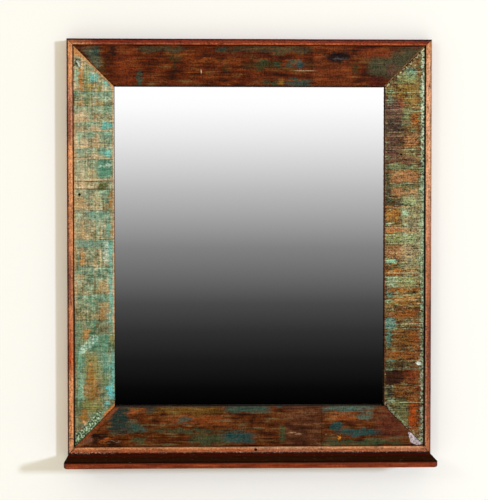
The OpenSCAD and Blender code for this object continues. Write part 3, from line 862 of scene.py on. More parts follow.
colour = layered(colour, (bare * 0.85, bare_tone),
                 (disc(knot_edge, *knot, 25, 10, 0.4) * 0.97, (16, 8, 6)),
                 (disc(knot_edge, *knot_shine, 13, 2.4, 0.6) * 0.45, (92, 82, 84)),
                 (disc(torn(here, 9, 5), *white_drop, 0.9, 4.4) * 0.85, (206, 184, 152)),
                 (disc(here, *scratch, 20, 0.9) * 0.6, (176, 152, 122)),
                 # painted shade along the top edge, by the strip, and along the bottom edge over the glass
                 (down.smooth(3, 0.8) * 0.3 + down.smooth(74, 76.5) * 0.5, (30, 14, 6)),
                 ((mitre + swing(clouds, 4)).smooth(2.5, 0.5) * 0.7, (150, 116, 70)))
board_coat(shader, colour, here, "x", cover, grain=1.9, saw=1.0, grit=2.8, rough=0.45)
face_board("top", "x", top_finish, saw_depth=0.05, fibre_depth=0.3)

# The bottom board: warm brown wood with long teal and gold-green remains, a pale chip at its right end.
bottom_finish, shader, here, right, down = new_board("bottom")
grain = noise(here, (60, 3, 1.8), detail=3, seed=101)
streaks = noise(here, (40, 5, 5), detail=2, seed=102)
clouds = noise(here, (30, 26, 11), detail=3, seed=103)
figure = swing(grain, 0.6) + swing(streaks, 0.7) + clouds
wood = tones(figure, (0.25, 38, 16, 3), (0.42, 77, 34, 6), (0.56, 103, 50, 11), (0.75, 132, 72, 26))
paint = tones(clouds + swing(grain, 0.6), (0.3, 30, 40, 26), (0.5, 56, 70, 46), (0.7, 86, 100, 70))
cover = (swing(streaks, 1.8) + swing(clouds, 1.4) + swing(grain, 0.7) + 0.34).smooth(0.35, 0.8)
soot, maroon, mauve, dark_teal, teal = (20, 10, 6), (92, 42, 30), (116, 74, 56), (30, 52, 46), (46, 80, 68)
green, blue_teal, blue, pale_teal = (56, 76, 48), (28, 74, 70), (50, 84, 84), (76, 106, 92)
white, orange, gold, bright_gold = (200, 196, 180), (158, 80, 34), (118, 88, 32), (206, 130, 40)
bottom_marks = {
    "orange by the mitre": (orange, 98, 112, 407, 420, 0.4),
    "green beside it": (teal, 125, 136, 419, 432, 0.6),
    "teal tail": (teal, 130, 143, 425, 432, 0.85),
    "orange streaks": (orange, 124, 141, 409, 413, 0.5),
    "dark teal blob": (dark_teal, 108, 127, 406, 433, 0.96),
    "blue dusk": (dark_teal, 142, 154, 405, 412, 0.7),
    "gold stretch": (gold, 155, 223, 405, 415, 0.5),
    "warm stretch": (orange, 165, 225, 416, 425, 0.4),
    "teal dash": (teal, 178, 192, 418, 423, 0.8),
    "grey green streak": (green, 150, 225, 429, 434, 0.65),
    "knot's rim": (soot, 90, 107, 434, 439, 0.9),
    "knot's side": (soot, 89, 95, 435, 443, 0.85),
    "knot's middle": (orange, 97, 107, 438, 443, 0.9),
    "mauve foot": (mauve, 80, 90, 437, 446, 0.7),
    "white specks": (white, 108, 118, 442, 444, 0.15),
    "green speckle": (green, 130, 143, 438, 444, 0.7),
    "teal stretch": (teal, 224, 268, 405, 413, 0.85),
    "blue dot": (blue, 275, 283, 403, 408, 0.8),
    "dark green row": (green, 190, 226, 436, 444, 0.8),
    "blue teal patch": (blue_teal, 223, 252, 432, 443, 0.92),
    "small dark dot": (soot, 261, 265, 420, 422, 0.8),
    "green run": (green, 279, 285, 425, 441, 0.7),
    "light teal end": (pale_teal, 322, 374, 405, 412, 0.8),
    "brown streaks": (orange, 330, 358, 413, 423, 0.5),
    "teal spot": (pale_teal, 359, 372, 414, 421, 0.7),
    "streak's head": (blue_teal, 329, 341, 424, 431, 0.9),
    "long streak": (blue_teal, 338, 381, 430, 436, 0.9),
    "gold spot": (bright_gold, 337, 340, 437, 440, 0.9),
    "green band": (green, 322, 402, 441, 446, 0.8),
    "maroon end": (maroon, 376, 408, 409, 438, 0.6),
}
colour = mix(cover * 0.65, wood, paint)
colour = marked(colour, here, "bottom", bottom_marks, ragged_mm=24, size=(20, 8, 6), worn=0.25)
bare_from, bare_to = 401, 469
bare = (right - bare_from).smooth(-1.5, 1.5) * (right - bare_to).smooth(1.5, -1.5)
bare_tone = tones(figure, (0.25, 56, 28, 14), (0.5, 82, 44, 24), (0.75, 112, 66, 40))
crack_edge = torn(here, 8, (10, 6, 6))
cracks = [(disc(crack_edge, crack_right, crack_down, half_wide, 1.0) * 0.7, (176, 138, 108))
          for crack_right, crack_down, half_wide in ((414, 50, 7), (427, 54, 8), (480, 54, 3))]
mitre = (right + down - board_width) * square_to_mitre
chip = patch(torn(here, 4, 4), ((635, 51), (643, 52), (662, 73), (652, 76), (639, 69)), 0.8)
chip_specks = noise(here, 3, detail=2, seed=104).smooth(0.5, 0.6)
colour = layered(colour, (bare * 0.75, bare_tone),
                 ((right - (bare_to + 1)).maths("ABSOLUTE").smooth(1.8, 0.6) * 0.5, (30, 14, 8)), *cracks,
                 ((mitre + swing(clouds, 8)).smooth(9, 5) * 0.75, (132, 64, 32)),
                 (chip * 0.95, (204, 190, 192)), (chip * chip_specks * 0.6, (92, 66, 76)),
                 # painted shade along the top edge over the glass and along the bottom edge by the strip
                 (down.smooth(2.4, 0.6) * 0.6 + down.smooth(75, 76.5) * 0.2, (26, 12, 6)))
board_coat(shader, colour, here, "x", cover, grain=1.7, saw=1.0, grit=2.3, rough=0.47)
face_board("bottom", "x", bottom_finish, saw_depth=0.05, fibre_depth=0.3)


# ---- The edge strips ----
# Four planed hardwood strips, mitred round the outside and nailed on from their outer faces. They are
# stained copper-brown, with painted shade along their edges and on their outer sides and a painted highlight
# near their inner edges, and stand a little in front of the boards.

strip_front, strip_back = (corner.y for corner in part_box("edge_strip_top"))
strip_ease = 0.002
strip_pitch = 0.0015
left_mm, low_mm, right_mm, high_mm = [line * mm_per_m for line in outer_line]
strip_wide = {side: abs(outer_line[i] - strip_line[i]) * mm_per_m
              for i, side in enumerate(("left", "bottom", "right", "top"))}


def planed_tree(name, along, *holes):
    """Relief of a planed strip or shelf: a slight wave, fine fibres and small knocks on its edges."""
    tree, entry = new_tree(name, "Skim", "Fibre depth", "Wave depth", "Knock depth")
    point = position_in(tree).vector("MULTIPLY", (mm_per_m, mm_per_m, mm_per_m))
    fibres = noise(point, along_grain(along, 60, 1.6), detail=2, seed=111) * entry["Fibre depth"]
    wave = noise(point, along_grain(along, 70, 30), detail=1, seed=112) * entry["Wave depth"]
    knocks = noise(point, 5, detail=2, seed=113).smooth(0.66, 0.8) * entry["Knock depth"]
    press = entry["Skim"] + fibres + wave + knocks
    for right, z, radius, hole_depth in holes:
        press = press + disc(point, right, z, radius, radius) * hole_depth
    end_pressed(tree, entry, press)
    return tree


def strip_finish(side, along, stops, seed):
    """Copper-brown stain whose tone changes along the strip: stops are (millimetres from its start, tone)."""
    material, shader, point = new_finish("strip_" + side)
    x, y, z = point.split()
    from_line = {"left": x - left_mm, "right": x * -1 + right_mm,
                 "bottom": z - low_mm, "top": z * -1 + high_mm}
    across, wide = from_line[side], strip_wide[side]
    along_mm = from_line["left" if along == "x" else "top"]
    length = stops[-1][0]
    fibres = noise(point, along_grain(along, 22, 1.3), detail=3, seed=seed)
    blotches = noise(point, along_grain(along, 16, 5), detail=3, seed=seed + 1)
    wear = noise(point, 3, detail=3, seed=seed + 2)
    pores = noise(point, along_grain(along, 8, 0.9), detail=2, seed=seed + 3).smooth(0.58, 0.7)
    grit = noise(point, 2.4, detail=2, seed=seed + 5)
    ragged = across + swing(wear, 3)
    # A painted highlight near the inner edge, broken into patches by the wear noise; weaker on the top strip.
    inner_highlight = 0.15 if side == "top" else 0.35
    body = layered(tones(along_mm * (1 / length), *[(mm / length, *tone) for mm, tone in stops]),
                   (blotches.smooth(0.52, 0.7) * 0.5, (116, 44, 18)), (pores * 0.65, (60, 22, 8)),
                   (ragged.smooth(wide - 5, wide - 3) * wear.smooth(0.38, 0.5) * inner_highlight, (232, 160, 110)))
    if side == "top":
        body = mix(ragged.smooth(9.5, 7.5) * 0.6, body, (98, 24, 5))
    if side == "left":
        crack_up = 32
        crack = (z + swing(wear, 4) - (low_mm + crack_up)).maths("ABSOLUTE").smooth(1.6, 0.5)
        body = mix(crack * 0.85, body, (34, 12, 6))
    if side == "bottom":
        thick = x.smooth(-225, -290) * 0.06
        specks = (noise(point, (2.4, 2.4, 1.6), detail=1, seed=seed + 6) + thick).smooth(0.62, 0.66)
        # Painted shade inside and round the old nail hole.
        hole_shade = disc(point, old_hole_right, old_hole_z + 1, 3, 3, 0.4)
        # Painted shade on the lower part of the bottom strip's face, where it rounds under: red-brown, then
        # near-black lower down.
        body = layered(body, ((across + swing(wear, 7)).smooth(12, 9.5) * 0.6, (168, 66, 22)),
                       ((across + swing(wear, 5)).smooth(6.2, 4.4) * 0.92, (44, 11, 5)),
                       (specks * ragged.smooth(8, 6) * 0.65, (216, 186, 166)), (hole_shade, (12, 6, 4)))
    # Painted shade: dark along the outer edge and on the outer sides, and along the inner edge where the
    # strip meets the board.
    outer_dark = {"top": 0.9, "bottom": 0.9, "left": 0.9, "right": 0.4}[side]
    inner_dark = {"top": 0.4, "bottom": 0.3, "left": 0.8, "right": 0.9}[side]
    front_mm = strip_front * mm_per_m
    at_front = y.smooth(front_mm + 8, front_mm + 3)
    from_side = from_line["left"].maths("MINIMUM", from_line["right"])
    from_end = from_line["bottom"].maths("MINIMUM", from_line["top"])
    mitre = (from_side - from_end + swing(wear, 2)).maths("ABSOLUTE").smooth(1.1, 0.4)
    body = layered(body, (ragged.smooth(4.4, 2.6) * at_front * outer_dark, (30, 8, 4)),
                   (across.smooth(1.5, 0.6) * (at_front * -1 + 1) * 0.45, (78, 34, 16)),
                   ((across + swing(wear, 1.2)).smooth(wide - 1.2, wide - 0.4) * inner_dark, (30, 12, 6)),
                   (mitre * 0.8, (34, 12, 6)))
    shade = swing(fibres, 1.6) + swing(blotches, 1.6) + swing(grit, 2.2) + 1.0
    coat(shader, body.vector("MULTIPLY", shade), swing(fibres, 0.3) + 0.42,
         fibres * 0.6 - pores * 0.5 + wear * 0.2, relief_mm=0.25, Specular_IOR_Level=0.12)
    return material


bright, copper, peach_brown = (214, 142, 90), (190, 118, 76), (216, 156, 116)
red_brown, dark_red, red_orange = (150, 56, 16), (134, 41, 6), (166, 66, 22)
pinkish, purple_brown, dull_brown, umber_brown = (194, 128, 96), (148, 84, 58), (166, 104, 70), (124, 66, 44)
strip_stops = {
    "top": ((0, bright), (30, copper), (60, dark_red), (200, dark_red), (240, red_brown), (330, red_orange),
            (420, red_orange), (520, red_brown), (640, red_brown), (690, dark_red)),
    "bottom": ((0, copper), (40, bright), (120, copper), (250, bright), (330, copper), (400, peach_brown),
               (560, bright), (660, peach_brown), (690, copper)),
    "left": ((0, bright), (80, bright), (95, pinkish), (175, purple_brown), (210, bright), (400, copper),
             (430, purple_brown), (490, purple_brown), (510, copper), (610, red_orange), (650, bright),
             (750, bright), (787, peach_brown)),
    "right": ((0, bright), (50, peach_brown), (260, peach_brown), (380, pinkish), (420, dull_brown),
              (540, umber_brown), (640, umber_brown), (740, purple_brown), (787, copper)),
}
old_hole_right, old_hole_z, old_hole_r, old_hole_depth = 11.0, low_mm + 8.5, 1.6, 6
for side in SIDES:
    along = "x" if side in ("top", "bottom") else "z"
    piece = mitred_blank("planed_strip_" + side, side, outer_line, strip_line, strip_front, strip_back,
                         strip_ease, strip_pitch)
    holes = [(old_hole_right, old_hole_z, old_hole_r, old_hole_depth)] if side == "bottom" else []
    grow(piece, planed_tree("planed_" + side, along, *holes),
         {"Skim": 0.1, "Fibre depth": 0.12, "Wave depth": 0.3, "Knock depth": 0.3},
         strip_finish(side, along, strip_stops[side], seed=121))
    stand_for(piece, "edge_strip_" + side)


# ---- The fasteners ----
# Countersunk and pan-head wood screws with a cross recess and a cut thread, and plain wire nails. Each stands
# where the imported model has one, with its head outermost, turned its own way round.


def driven_places(node_name):
    """For each screw or nail of a CAD node, the middle of its head's face and the way it is driven."""
    build = bmesh.new()
    build.from_mesh(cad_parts[node_name].data)
    bmesh.ops.remove_doubles(build, verts=build.verts, dist=1e-6)
    waiting = set(build.verts)
    places = []
    while waiting:
        reached = [waiting.pop()]
        part = []
        while reached:
            vert = reached.pop()
            part.append(vert.co.copy())
            near = {edge.other_vert(vert) for edge in vert.link_edges} & waiting
            waiting -= near
            reached += near
        places.append(head_of(part))
    build.free()
    return sorted(places)


def head_of(part):
    """The middle of the wide end of one long piece, and the way from there to its narrow end."""
    low, high = ([furthest(co[i] for co in part) for i in range(3)] for furthest in (min, max))
    long_way = max(range(3), key=lambda i: high[i] - low[i])
    middle = [(a + b) / 2 for a, b in zip(low, high)]
    near_end = 0.0003

    def spread(end):
        return max(abs(co[i] - middle[i]) for co in part if abs(co[long_way] - end) < near_end
                   for i in range(3) if i != long_way)

    from_low = spread(low[long_way]) > spread(high[long_way])
    middle[long_way] = low[long_way] if from_low else high[long_way]
    heading = [0.0, 0.0, 0.0]
    heading[long_way] = 1.0 if from_low else -1.0
    return tuple(round(v, 7) for v in middle), tuple(heading)


def seeds(name, places):
    """Points at the places, each with its heading, for a tree to stand fasteners on."""
    mesh = bpy.data.meshes.new(name)
    mesh.from_pydata([place for place, _ in places], [], [])
    heading = mesh.attributes.new("heading", "FLOAT_VECTOR", "POINT")
    for point_heading, (_, way) in zip(heading.data, places):
        point_heading.vector = way
    return placed(name, mesh)


def set_out(tree, entry, shape):
    """Ends a tree: a shape that is driven along +z stands on each point, turned its own way round."""
    heading = node_of(tree, "GeometryNodeInputNamedAttribute", {"Name": "heading"}, data_type="FLOAT_VECTOR")
    aligned = node_of(tree, "FunctionNodeAlignRotationToVector", {"Vector": heading}, axis="Z")
    turns = {"Min": (0, 0, 0), "Max": (0, 0, math.tau), "Seed": 7}
    spin = node_of(tree, "FunctionNodeRandomValue", turns, data_type="FLOAT_VECTOR")
    turned = node_of(tree, "FunctionNodeRotateRotation", {"Rotation": aligned, "Rotate By": spin},
                     rotation_space="LOCAL")
    inputs = {"Points": entry["Geometry"], "Instance": shape, "Rotation": turned}
    end_tree(tree, node_of(tree, "GeometryNodeInstanceOnPoints", inputs), entry["Finish"])


def turned_bar(tree, radius, start, end, scale_at, sides, steps):
    """A round bar from z = start to end, whose radius is scaled by scale_at(z, and turns round the bar)."""
    middle = node_of(tree, "ShaderNodeCombineXYZ", {"Z": (start + end) * 0.5})
    sizes = {"Vertices": sides, "Side Segments": steps, "Radius": radius, "Depth": end - start}
    bar = node_of(tree, "GeometryNodeMeshCylinder", sizes)
    moved = node_of(tree, "GeometryNodeTransform", {"Geometry": bar, "Translation": middle})
    place = position_in(tree)
    x, y, z = place.split()
    grown = scale_at(z, y.maths("ARCTAN2", x) * (1 / math.tau)) - 1
    spread = node_of(tree, "ShaderNodeCombineXYZ", {"X": grown, "Y": grown})
    inputs = {"Geometry": moved, "Offset": place.vector("MULTIPLY", spread)}
    return node_of(tree, "GeometryNodeSetPosition", inputs)


def combined(tree, operation, inputs, *shapes):
    """Closed shapes joined into one solid, or cut out of the one that inputs hold."""
    solid = node_of(tree, "GeometryNodeMeshBoolean", inputs, operation=operation)
    for shape in shapes:
        feed(solid.socket.node.inputs["Mesh 2"], shape)
    return solid


def tip(z, length, radius):
    """The scale of a shank's radius near its point: 1, and falling to a blunt tip over its last diameter."""
    blunt = 0.25
    return ((z - length) * -1).maths("DIVIDE", radius * 2).maths("MINIMUM", 1) * (1 - blunt) + blunt


def screw_tree(name, domed):
    """One wood screw, with a domed pan head or a countersunk head, set out on the points it is given."""
    tree, entry = new_tree(name, "Shank radius", "Length", "Head radius", "Head height", "Thread pitch",
                           "Thread depth", "Recess reach", "Recess width", "Recess depth")
    radius, length = entry["Shank radius"], entry["Length"]
    head_radius, head_height = entry["Head radius"], entry["Head height"]
    pan_edge, plain_part = 0.4375, (0.3, 0.36)

    def head_scale(z, _):
        down = z.maths("DIVIDE", head_height)
        if domed:
            out = down * -1 + 1
            return (out * out * -pan_edge + 1).maths("SQRT")
        return down * (radius.maths("DIVIDE", head_radius) - 1) + 1

    def shank_scale(z, turns):
        wave = ((z.maths("DIVIDE", entry["Thread pitch"]) + turns).maths("FRACT") - 0.5).maths("ABSOLUTE") * 2
        groove = wave.smooth(1.0, 0.45) * z.maths("DIVIDE", length).smooth(*plain_part)
        return ((groove * entry["Thread depth"] * -1).maths("DIVIDE", radius) + 1) * tip(z, length, radius)

    head = turned_bar(tree, head_radius, head_height * 0, head_height, head_scale, sides=32, steps=8)
    shank = turned_bar(tree, radius, head_height * 0.5, length, shank_scale, sides=20, steps=90)
    wing_sizes = {"X": entry["Recess reach"] * 2, "Y": entry["Recess width"], "Z": entry["Recess depth"] * 2}
    wing = node_of(tree, "ShaderNodeCombineXYZ", wing_sizes)
    slot_cut = node_of(tree, "GeometryNodeMeshCube", {"Size": wing})
    quarter_turn = {"Geometry": slot_cut, "Rotation": (0, 0, math.pi / 2)}
    cross_cut = node_of(tree, "GeometryNodeTransform", quarter_turn)
    solid = combined(tree, "UNION", {}, head, shank)
    set_out(tree, entry, combined(tree, "DIFFERENCE", {"Mesh 1": solid}, slot_cut, cross_cut))
    return tree


def nail_tree(name):
    """One wire nail with a thin flat head, set out on the points it is given."""
    tree, entry = new_tree(name, "Shank radius", "Length", "Head radius", "Head height")
    radius, length, head_height = entry["Shank radius"], entry["Length"], entry["Head height"]

    def head_scale(z, _):
        return z.maths("DIVIDE", head_height).smooth(-0.6, 0.25) * 0.2 + 0.8

    def shank_scale(z, _):
        return tip(z, length, radius)

    head = turned_bar(tree, entry["Head radius"], head_height * 0, head_height, head_scale, sides=20, steps=6)
    shank = turned_bar(tree, radius, head_height * 0.5, length, shank_scale, sides=12, steps=24)
    set_out(tree, entry, combined(tree, "UNION", {}, head, shank))
    return tree


def smoothed(piece):
    """Merges a piece's doubles, turns its faces outwards and marks its sharp edges."""
    build = bmesh.new()
    build.from_mesh(piece.data)
    settle(build, piece.data)


def fasteners(node_name, tree, sizes, finish):
    """All the screws or nails of one CAD node, as one piece in its place."""
    piece = seeds(node_name + "_turned", driven_places(node_name))
    grow(piece, tree, sizes, finish)
    smoothed(piece)
    stand_for(piece, node_name)


def metal(name, dark, light, metallic, rough, cloud_mm):
    """Plated or plain metal with a cloudy tone and fine scratches."""
    material, shader, point = new_finish(name)
    cloud = noise(point, cloud_mm, detail=3, seed=141)
    scratches = noise(point, (0.25, 6, 0.25), detail=2, seed=142).smooth(0.6, 0.8)
    coat(shader, tones(cloud, (0.3, *dark), (0.7, *light)), cloud * 0.25 + scratches * 0.15 + rough,
         cloud * 0.4 - scratches * 0.6, relief_mm=0.03, Metallic=metallic)
    return material


zinc = metal("bright_zinc", (158, 162, 168), (208, 211, 214), metallic=1.0, rough=0.22, cloud_mm=2.2)
yellow_zinc = metal("yellow_zinc", (170, 132, 60), (216, 190, 124), metallic=1.0, rough=0.22, cloud_mm=1.6)
nail_steel = metal("nail_steel", (44, 36, 32), (100, 88, 80), metallic=0.8, rough=0.4, cloud_mm=0.8)

board_screw_r, small_screw_r, nail_r, nail_length = 0.002, 0.0015, 0.0009, 0.032
sink, pan = 1.2, 1.4
countersunk = screw_tree("countersunk_screw", domed=False)
pan_headed = screw_tree("pan_head_screw", domed=True)
for name, tree, radius, head_share, way, finish in (
        ("face_board_screws", countersunk, board_screw_r, sink, "y", yellow_zinc),
        ("shelf_screws", countersunk, board_screw_r, sink, "z", yellow_zinc),
        ("hanging_plate_screws", countersunk, small_screw_r, sink, "y", zinc),
        ("back_panel_screws", pan_headed, small_screw_r, pan, "y", zinc)):
    low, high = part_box(name)
    sizes = {"Shank radius": radius, "Length": getattr(high - low, way), "Head radius": radius * 2,
             "Head height": radius * head_share, "Thread pitch": radius * 0.8, "Thread depth": radius * 0.3,
             "Recess reach": radius * 1.1, "Recess width": radius * 0.42, "Recess depth": radius * 0.75}
    fasteners(name, tree, sizes, finish)
fasteners("edge_strip_nails", nail_tree("wire_nail"),
          {"Shank radius": nail_r, "Length": nail_length, "Head radius": nail_r * 1.6, "Head height": nail_r},
          nail_steel)


# ---- The hanging plates, rails and back panel ----
# Flat steel keyhole plates let into the top rail, and the sawn edges of rails and panel. They keep the
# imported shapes, with their edges eased as a file or a plane leaves them.


def ease_edges(node_name, width):
    """Eases the sharp edges of a CAD node by width metres."""
    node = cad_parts[node_name]
    weld = node.modifiers.new("weld", "WELD")
    weld.merge_threshold = 1e-6
    flat = node.modifiers.new("flat", "DECIMATE")
    flat.decimate_type = "DISSOLVE"
    flat.angle_limit = math.radians(1)
    round_over = node.modifiers.new("ease", "BEVEL")
    round_over.width = width
    round_over.segments = 2
    round_over.limit_method = "ANGLE"
    round_over.angle_limit = math.radians(50)
    round_over.harden_normals = True


for name in ("hanging_plate_left", "hanging_plate_right"):
    dress(name, zinc)
    ease_edges(name, width=0.0003)
for side in SIDES:
    ease_edges("rail_" + side, width=0.0006)
ease_edges("back_panel", width=0.0004)


# ---- The shelf ----
# One planed board with eased edges and rounded front corners, screwed on from below. The frame stands in a
# shallow housing along its back. It is stained red-brown, with painted shade on its top, its ends, the
# rounded edges of its front face and its underside.

shelf_low, shelf_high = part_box("shelf_board")
shelf_end = shelf_high.x
corner_r, round_top, round_low, housing = 0.009, 0.003, 0.004, 0.002
shelf_pitch = 0.0019
corner_steps, housed_steps, wall_rows, round_sides = 9, 15, 4, 32


def shelf_stops(full, both_ends):
    """Places from 0 to full: close together at the rounded ends, an even pitch between them."""
    close = [corner_r * (1 - math.cos(math.pi / 2 * i / corner_steps)) for i in range(corner_steps)]
    start, first = (close, corner_r) if both_ends else ([0.0], shelf_pitch)
    last = full - corner_r
    steps = round((last - first) / shelf_pitch)
    even = [first + (last - first) * i / steps for i in range(steps + 1)]
    return start + even + [full - step for step in reversed(close)]


def shelf_front(x):
    """How far forward the shelf reaches at x, with its corner rounded."""
    into = max(0.0, abs(x) - shelf_end + corner_r)
    return shelf_low.y + corner_r - math.sqrt(max(0.0, corner_r ** 2 - into ** 2))


def from_edge(x, y):
    """The distance of a point in the shelf's plan from its end and front edges."""
    into_x = abs(x) - shelf_end + corner_r
    into_y = shelf_low.y + corner_r - y
    if into_x > 0 and into_y > 0:
        return max(0.0, corner_r - math.hypot(into_x, into_y))
    return max(0.0, corner_r - max(into_x, into_y))


def rounding(distance, radius):
    """How far a rounded edge has fallen away at a distance from the outline."""
    short = max(0.0, radius - distance)
    return radius - math.sqrt(radius ** 2 - short ** 2)


def shelf_mesh(name):
    """The shelf as two fine sheets, top and underside, joined by its edges and its back."""
    build = bmesh.new()
    housed_step = (strip_front - shelf_high.y) / housed_steps
    housed = [shelf_high.y + housed_step * i for i in range(housed_steps + 1)]
    open_depth = strip_front - shelf_low.y
    top, low = [], []
    for x in [place - shelf_end for place in shelf_stops(2 * shelf_end, both_ends=True)]:
        reach = shelf_front(x)
        open_part = [strip_front + (reach - strip_front) * place / open_depth
                     for place in shelf_stops(open_depth, both_ends=False)]
        under = [(y, shelf_low.z + rounding(from_edge(x, y), round_low)) for y in housed + open_part[1:]]
        upper = [(y, shelf_high.z - max(housing, rounding(from_edge(x, y), round_top))) for y in housed]
        upper += [(y, shelf_high.z - rounding(from_edge(x, y), round_top)) for y in open_part]
        top.append([build.verts.new((x, y, z)) for y, z in upper])
        low.append([build.verts.new((x, y, z)) for y, z in under])
    top_rim = top[0] + [column[-1] for column in top[1:-1]] + top[-1][::-1]
    low_rim = low[0] + [column[-1] for column in low[1:-1]] + low[-1][::-1]
    top_rim = [top_rim[0], *(vert for before, vert in zip(top_rim, top_rim[1:])
                             if (vert.co - before.co).length > 1e-7)]
    rows = [top_rim]
    for row in range(1, wall_rows):
        rows.append([build.verts.new(a.co.lerp(b.co, row / wall_rows)) for a, b in zip(top_rim, low_rim)])
    rows.append(low_rim)
    for sheet in (top, low, rows):
        for near, far in zip(sheet, sheet[1:]):
            for a, b, c, d in zip(near, near[1:], far[1:], far):
                build.faces.new((a, b, c, d))
    back = [column[0] for column in top] + [row[-1] for row in rows[1:]]
    back += [column[0] for column in low[-2::-1]] + [row[0] for row in rows[-2:0:-1]]
    build.faces.new(back)
    return finished(name, build)


def countersinks(piece, node_name, radius, depth, shank_r, length):
    """Cuts the holes that a CAD node's countersunk screws stand in."""
    cutter = bmesh.new()
    play, out = 0.00005, 0.0005
    profile = ((radius + play, -out), (radius + play, 0), (shank_r + play, depth), (shank_r + play, length))
    angles = [math.tau * i / round_sides for i in range(round_sides)]
    for place, heading in driven_places(node_name):
        turn = Vector(heading).to_track_quat("Z", "Y").to_matrix().to_4x4()
        rings = [[cutter.verts.new(Vector(place) + turn @ Vector((r * math.cos(a), r * math.sin(a), z)))
                  for a in angles] for r, z in profile]
        for near, far in zip(rings, rings[1:]):
            for i in range(round_sides):
                cutter.faces.new((near[i], near[i - 1], far[i - 1], far[i]))
        cutter.faces.new(rings[0])
        cutter.faces.new(rings[-1])
    tool = finished("cutter", cutter)
    cut = piece.modifiers.new("cut", "BOOLEAN")
    cut.operation = "DIFFERENCE"
    cut.object = tool
    applied(piece, cut)
    bpy.data.objects.remove(tool)


shelf_finish, shader, point = new_finish("shelf_wood")
x, y, z = point.split()
above_foot = z - shelf_low.z * mm_per_m
below_top = z - shelf_high.z * mm_per_m
to_end = x.maths("ABSOLUTE") - shelf_end * mm_per_m
from_front = y - shelf_low.y * mm_per_m
from_frame = y - strip_front * mm_per_m
fibres = noise(point, (60, 1.4, 1.4), detail=3, seed=131)
blotches = noise(point, (30, 8, 8), detail=3, seed=132)
grit = noise(point, 2.4, detail=2, seed=134)
scuffs = noise(point, (5, 5, 2), detail=2, seed=133).smooth(0.68, 0.74)
figure = swing(fibres, 0.8) + swing(grit, 0.4) + swing(blotches, 0.5) + 0.5
stain = tones(figure, (0.25, 64, 18, 4), (0.42, 108, 38, 12), (0.58, 134, 52, 18), (0.75, 172, 84, 40))
# Painted shade where the front face rounds over into the top and under into the underside, and on the
# underside; the band between keeps the plain stain.
front_unshaded = (below_top + swing(blotches, 4)).smooth(-2.5, -5) * (above_foot + swing(blotches, 3)).smooth(-0.5, 2)
top_face = below_top.smooth(-3, -1.6)
# The top is painted dark for the shade it lies in under the low lamp, darker towards the front edge.
top_shade_tone = layered(mix((from_frame + swing(blotches, 10)).smooth(-32, -18), (42, 20, 8), (74, 17, 6)),
                   (fibres.smooth(0.5, 0.68) * 0.6, (76, 48, 28)),
                   ((from_front + swing(grit, 4)).smooth(9, 6) * 0.8, (20, 8, 4)))
body = layered(stain, ((front_unshaded * -1 + 1) * 0.7, (48, 14, 5)),
               # painted shade on the shelf's ends
               ((to_end + swing(blotches, 12)).smooth(-7, 2) * 0.9, (30, 10, 4)),
               (top_face * 0.94, top_shade_tone), (scuffs * 0.4, (150, 130, 104)))
coat(shader, body, swing(fibres, 0.3) + 0.45, fibres, relief_mm=0.15,
     Specular_IOR_Level=top_face * -0.1 + 0.1)
shelf = shelf_mesh("planed_shelf")
grow(shelf, planed_tree("planed_shelf", "x"),
     {"Skim": 0.05, "Fibre depth": 0.1, "Wave depth": 0.25, "Knock depth": 0.3}, shelf_finish)
pilot_depth = 0.02
countersinks(shelf, "shelf_screws", board_screw_r * 2, board_screw_r * sink, board_screw_r, pilot_depth)
smoothed(shelf)
stand_for(shelf, "shelf_board")


# ---- The studio ----
# A pale wall behind the mirror and a pale floor under it, a soft lamp from the right, weak ones from the
# left and from behind, and a graded card in front that only the mirror and other glossy surfaces see.

floor_z = cad_box[0].z - 0.6
floor_reach, floor_fades_mm = 8, (1500, 2600)
wall_side, wall_top, wall_gap = 1.6, 0.9, 0.0005
card_away, card_side, card_low, card_high, card_fade = 1.5, 0.8, -0.95, 0.4, 0.9
card_wide, card_foot = card_side + card_fade, card_low - card_fade / 2


def seen_from_behind(tree):
    """1 where the back of a panel is looked at, and 0 at its front."""
    return Field(tree, tree.nodes.new("ShaderNodeNewGeometry").outputs["Backfacing"])


def let_through(shader, share):
    """Lets a finish be looked through, as far as share, from 0 to 1."""
    tree = shader.id_data
    clear = node_of(tree, "ShaderNodeBsdfTransparent", {})
    either = node_of(tree, "ShaderNodeMixShader", {0: share, 1: Field(tree, shader.outputs[0]), 2: clear})
    feed(tree.nodes["Material Output"].inputs["Surface"], either)


def panel(name, corners, material):
    """A flat studio panel through four corners, facing the side from which they run anticlockwise."""
    mesh = bpy.data.meshes.new(name)
    mesh.from_pydata(corners, [], [(0, 1, 2, 3)])
    mesh.materials.append(material)
    made = placed(name, mesh)
    return made


wall_finish, shader, _ = new_finish("studio_wall")
coat(shader, (0.96, 0.955, 0.93, 1), 0.9, Specular_IOR_Level=0.1)
let_through(shader, seen_from_behind(wall_finish.node_tree))
wall = panel("wall", [(-wall_side, wall_gap, floor_z), (wall_side, wall_gap, floor_z),
                      (wall_side, wall_gap, wall_top), (-wall_side, wall_gap, wall_top)], wall_finish)

floor_finish, shader, point = new_finish("studio_floor")
coat(shader, (0.9, 0.895, 0.88, 1), 0.9, Specular_IOR_Level=0.1)
from_middle = point.vector("MULTIPLY", (1, 1, 0)).length()
faded = from_middle.smooth(*floor_fades_mm)
let_through(shader, faded.maths("MAXIMUM", seen_from_behind(floor_finish.node_tree)))
panel("floor", [(-floor_reach, -floor_reach, floor_z), (floor_reach, -floor_reach, floor_z),
                (floor_reach, floor_reach, floor_z), (-floor_reach, floor_reach, floor_z)], floor_finish)

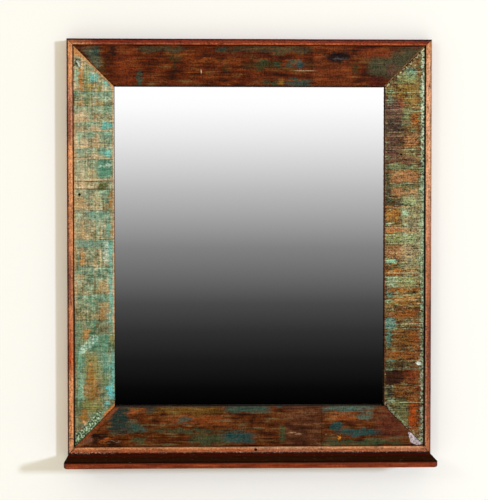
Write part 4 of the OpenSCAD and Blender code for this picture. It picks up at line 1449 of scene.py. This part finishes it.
card_finish = bpy.data.materials.new("graded_card")
card_finish.use_nodes = True
tree = card_finish.node_tree
tree.nodes.clear()
across, _, height = node_of(tree, "ShaderNodeTexCoord", {}, "Object").split()
card_greys = ((-0.86, 2), (-0.81, 9), (-0.727, 28), (-0.644, 49), (-0.561, 74), (-0.395, 131), (-0.229, 189),
              (-0.064, 238), (0.02, 256), (0.08, 262))
card_tall = card_high - card_low
card_stops = [((z - card_low) / card_tall, grey, grey, grey) for z, grey in card_greys]
graded = tones((height - card_low) * (1 / card_tall), *card_stops)
glow = node_of(tree, "ShaderNodeEmission", {"Color": graded})
tree.nodes.new("ShaderNodeOutputMaterial")
fading = across.maths("ABSOLUTE").smooth(card_side, card_wide)
let_through(glow.socket.node, fading.maths("MAXIMUM", height.smooth(card_low, card_foot)))
card = panel("graded_card", [(card_wide, -card_away, card_foot), (-card_wide, -card_away, card_foot),
                             (-card_wide, -card_away, card_high), (card_wide, -card_away, card_high)],
             card_finish)
for staged, unseen in ((wall, ("shadow", "diffuse", "glossy")),
                       (card, ("camera", "diffuse", "shadow", "transmission", "volume_scatter"))):
    for kind in unseen:
        setattr(staged, "visible_" + kind, False)


def lamp(name, place, aim, size, watts, colour):
    """A soft square lamp."""
    data = bpy.data.lights.new(name, "AREA")
    data.size = size
    data.energy = watts
    data.color = colour
    made = placed(name, data)
    made.location = place
    made.rotation_euler = (Vector(aim) - Vector(place)).to_track_quat("-Z", "Y").to_euler()


middle = (0, -0.02, -0.36)
lamp("key", (5.6, -6.95, 0.85), middle, size=0.7, watts=340, colour=(0.86, 0.98, 1.22))
lamp("left fill", (-1.9, -3.3, 0.5), middle, size=0.6, watts=10, colour=(1, 1, 1))
lamp("back", (0.4, 4.2, 0.5), middle, size=1.0, watts=50, colour=(1, 1, 1))

world = bpy.data.worlds.new("studio")
bpy.context.scene.world = world
world.use_nodes = True
tree = world.node_tree
tree.nodes.clear()
camera_ray, glossy_ray, clear_ray = (node_of(tree, "ShaderNodeLightPath", {}, f"Is {kind} Ray")
                                     for kind in ("Camera", "Glossy", "Transmission"))
seen = camera_ray.maths("MAXIMUM", glossy_ray).maths("MAXIMUM", clear_ray)
sky = node_of(tree, "ShaderNodeBackground", {"Color": mix(seen, (0.7, 0.64, 0.495, 1), (1, 1, 1, 1))})
feed(tree.nodes.new("ShaderNodeOutputWorld").inputs[0], sky)

film_mm, focal_pixels, picture_pixels = 36, 1405, 500
camera_data = bpy.data.cameras.new("camera")
camera_data.lens = film_mm * focal_pixels / picture_pixels
camera = placed("camera", camera_data)
camera.location = (-0.089, -2.684, -0.284)
looks_down, looks_left = math.radians(1.62), math.radians(-1.68)
camera.rotation_euler = (math.pi / 2 - looks_down, 0, looks_left)
bpy.context.scene.camera = camera
bpy.context.scene.view_settings.view_transform = "Standard"
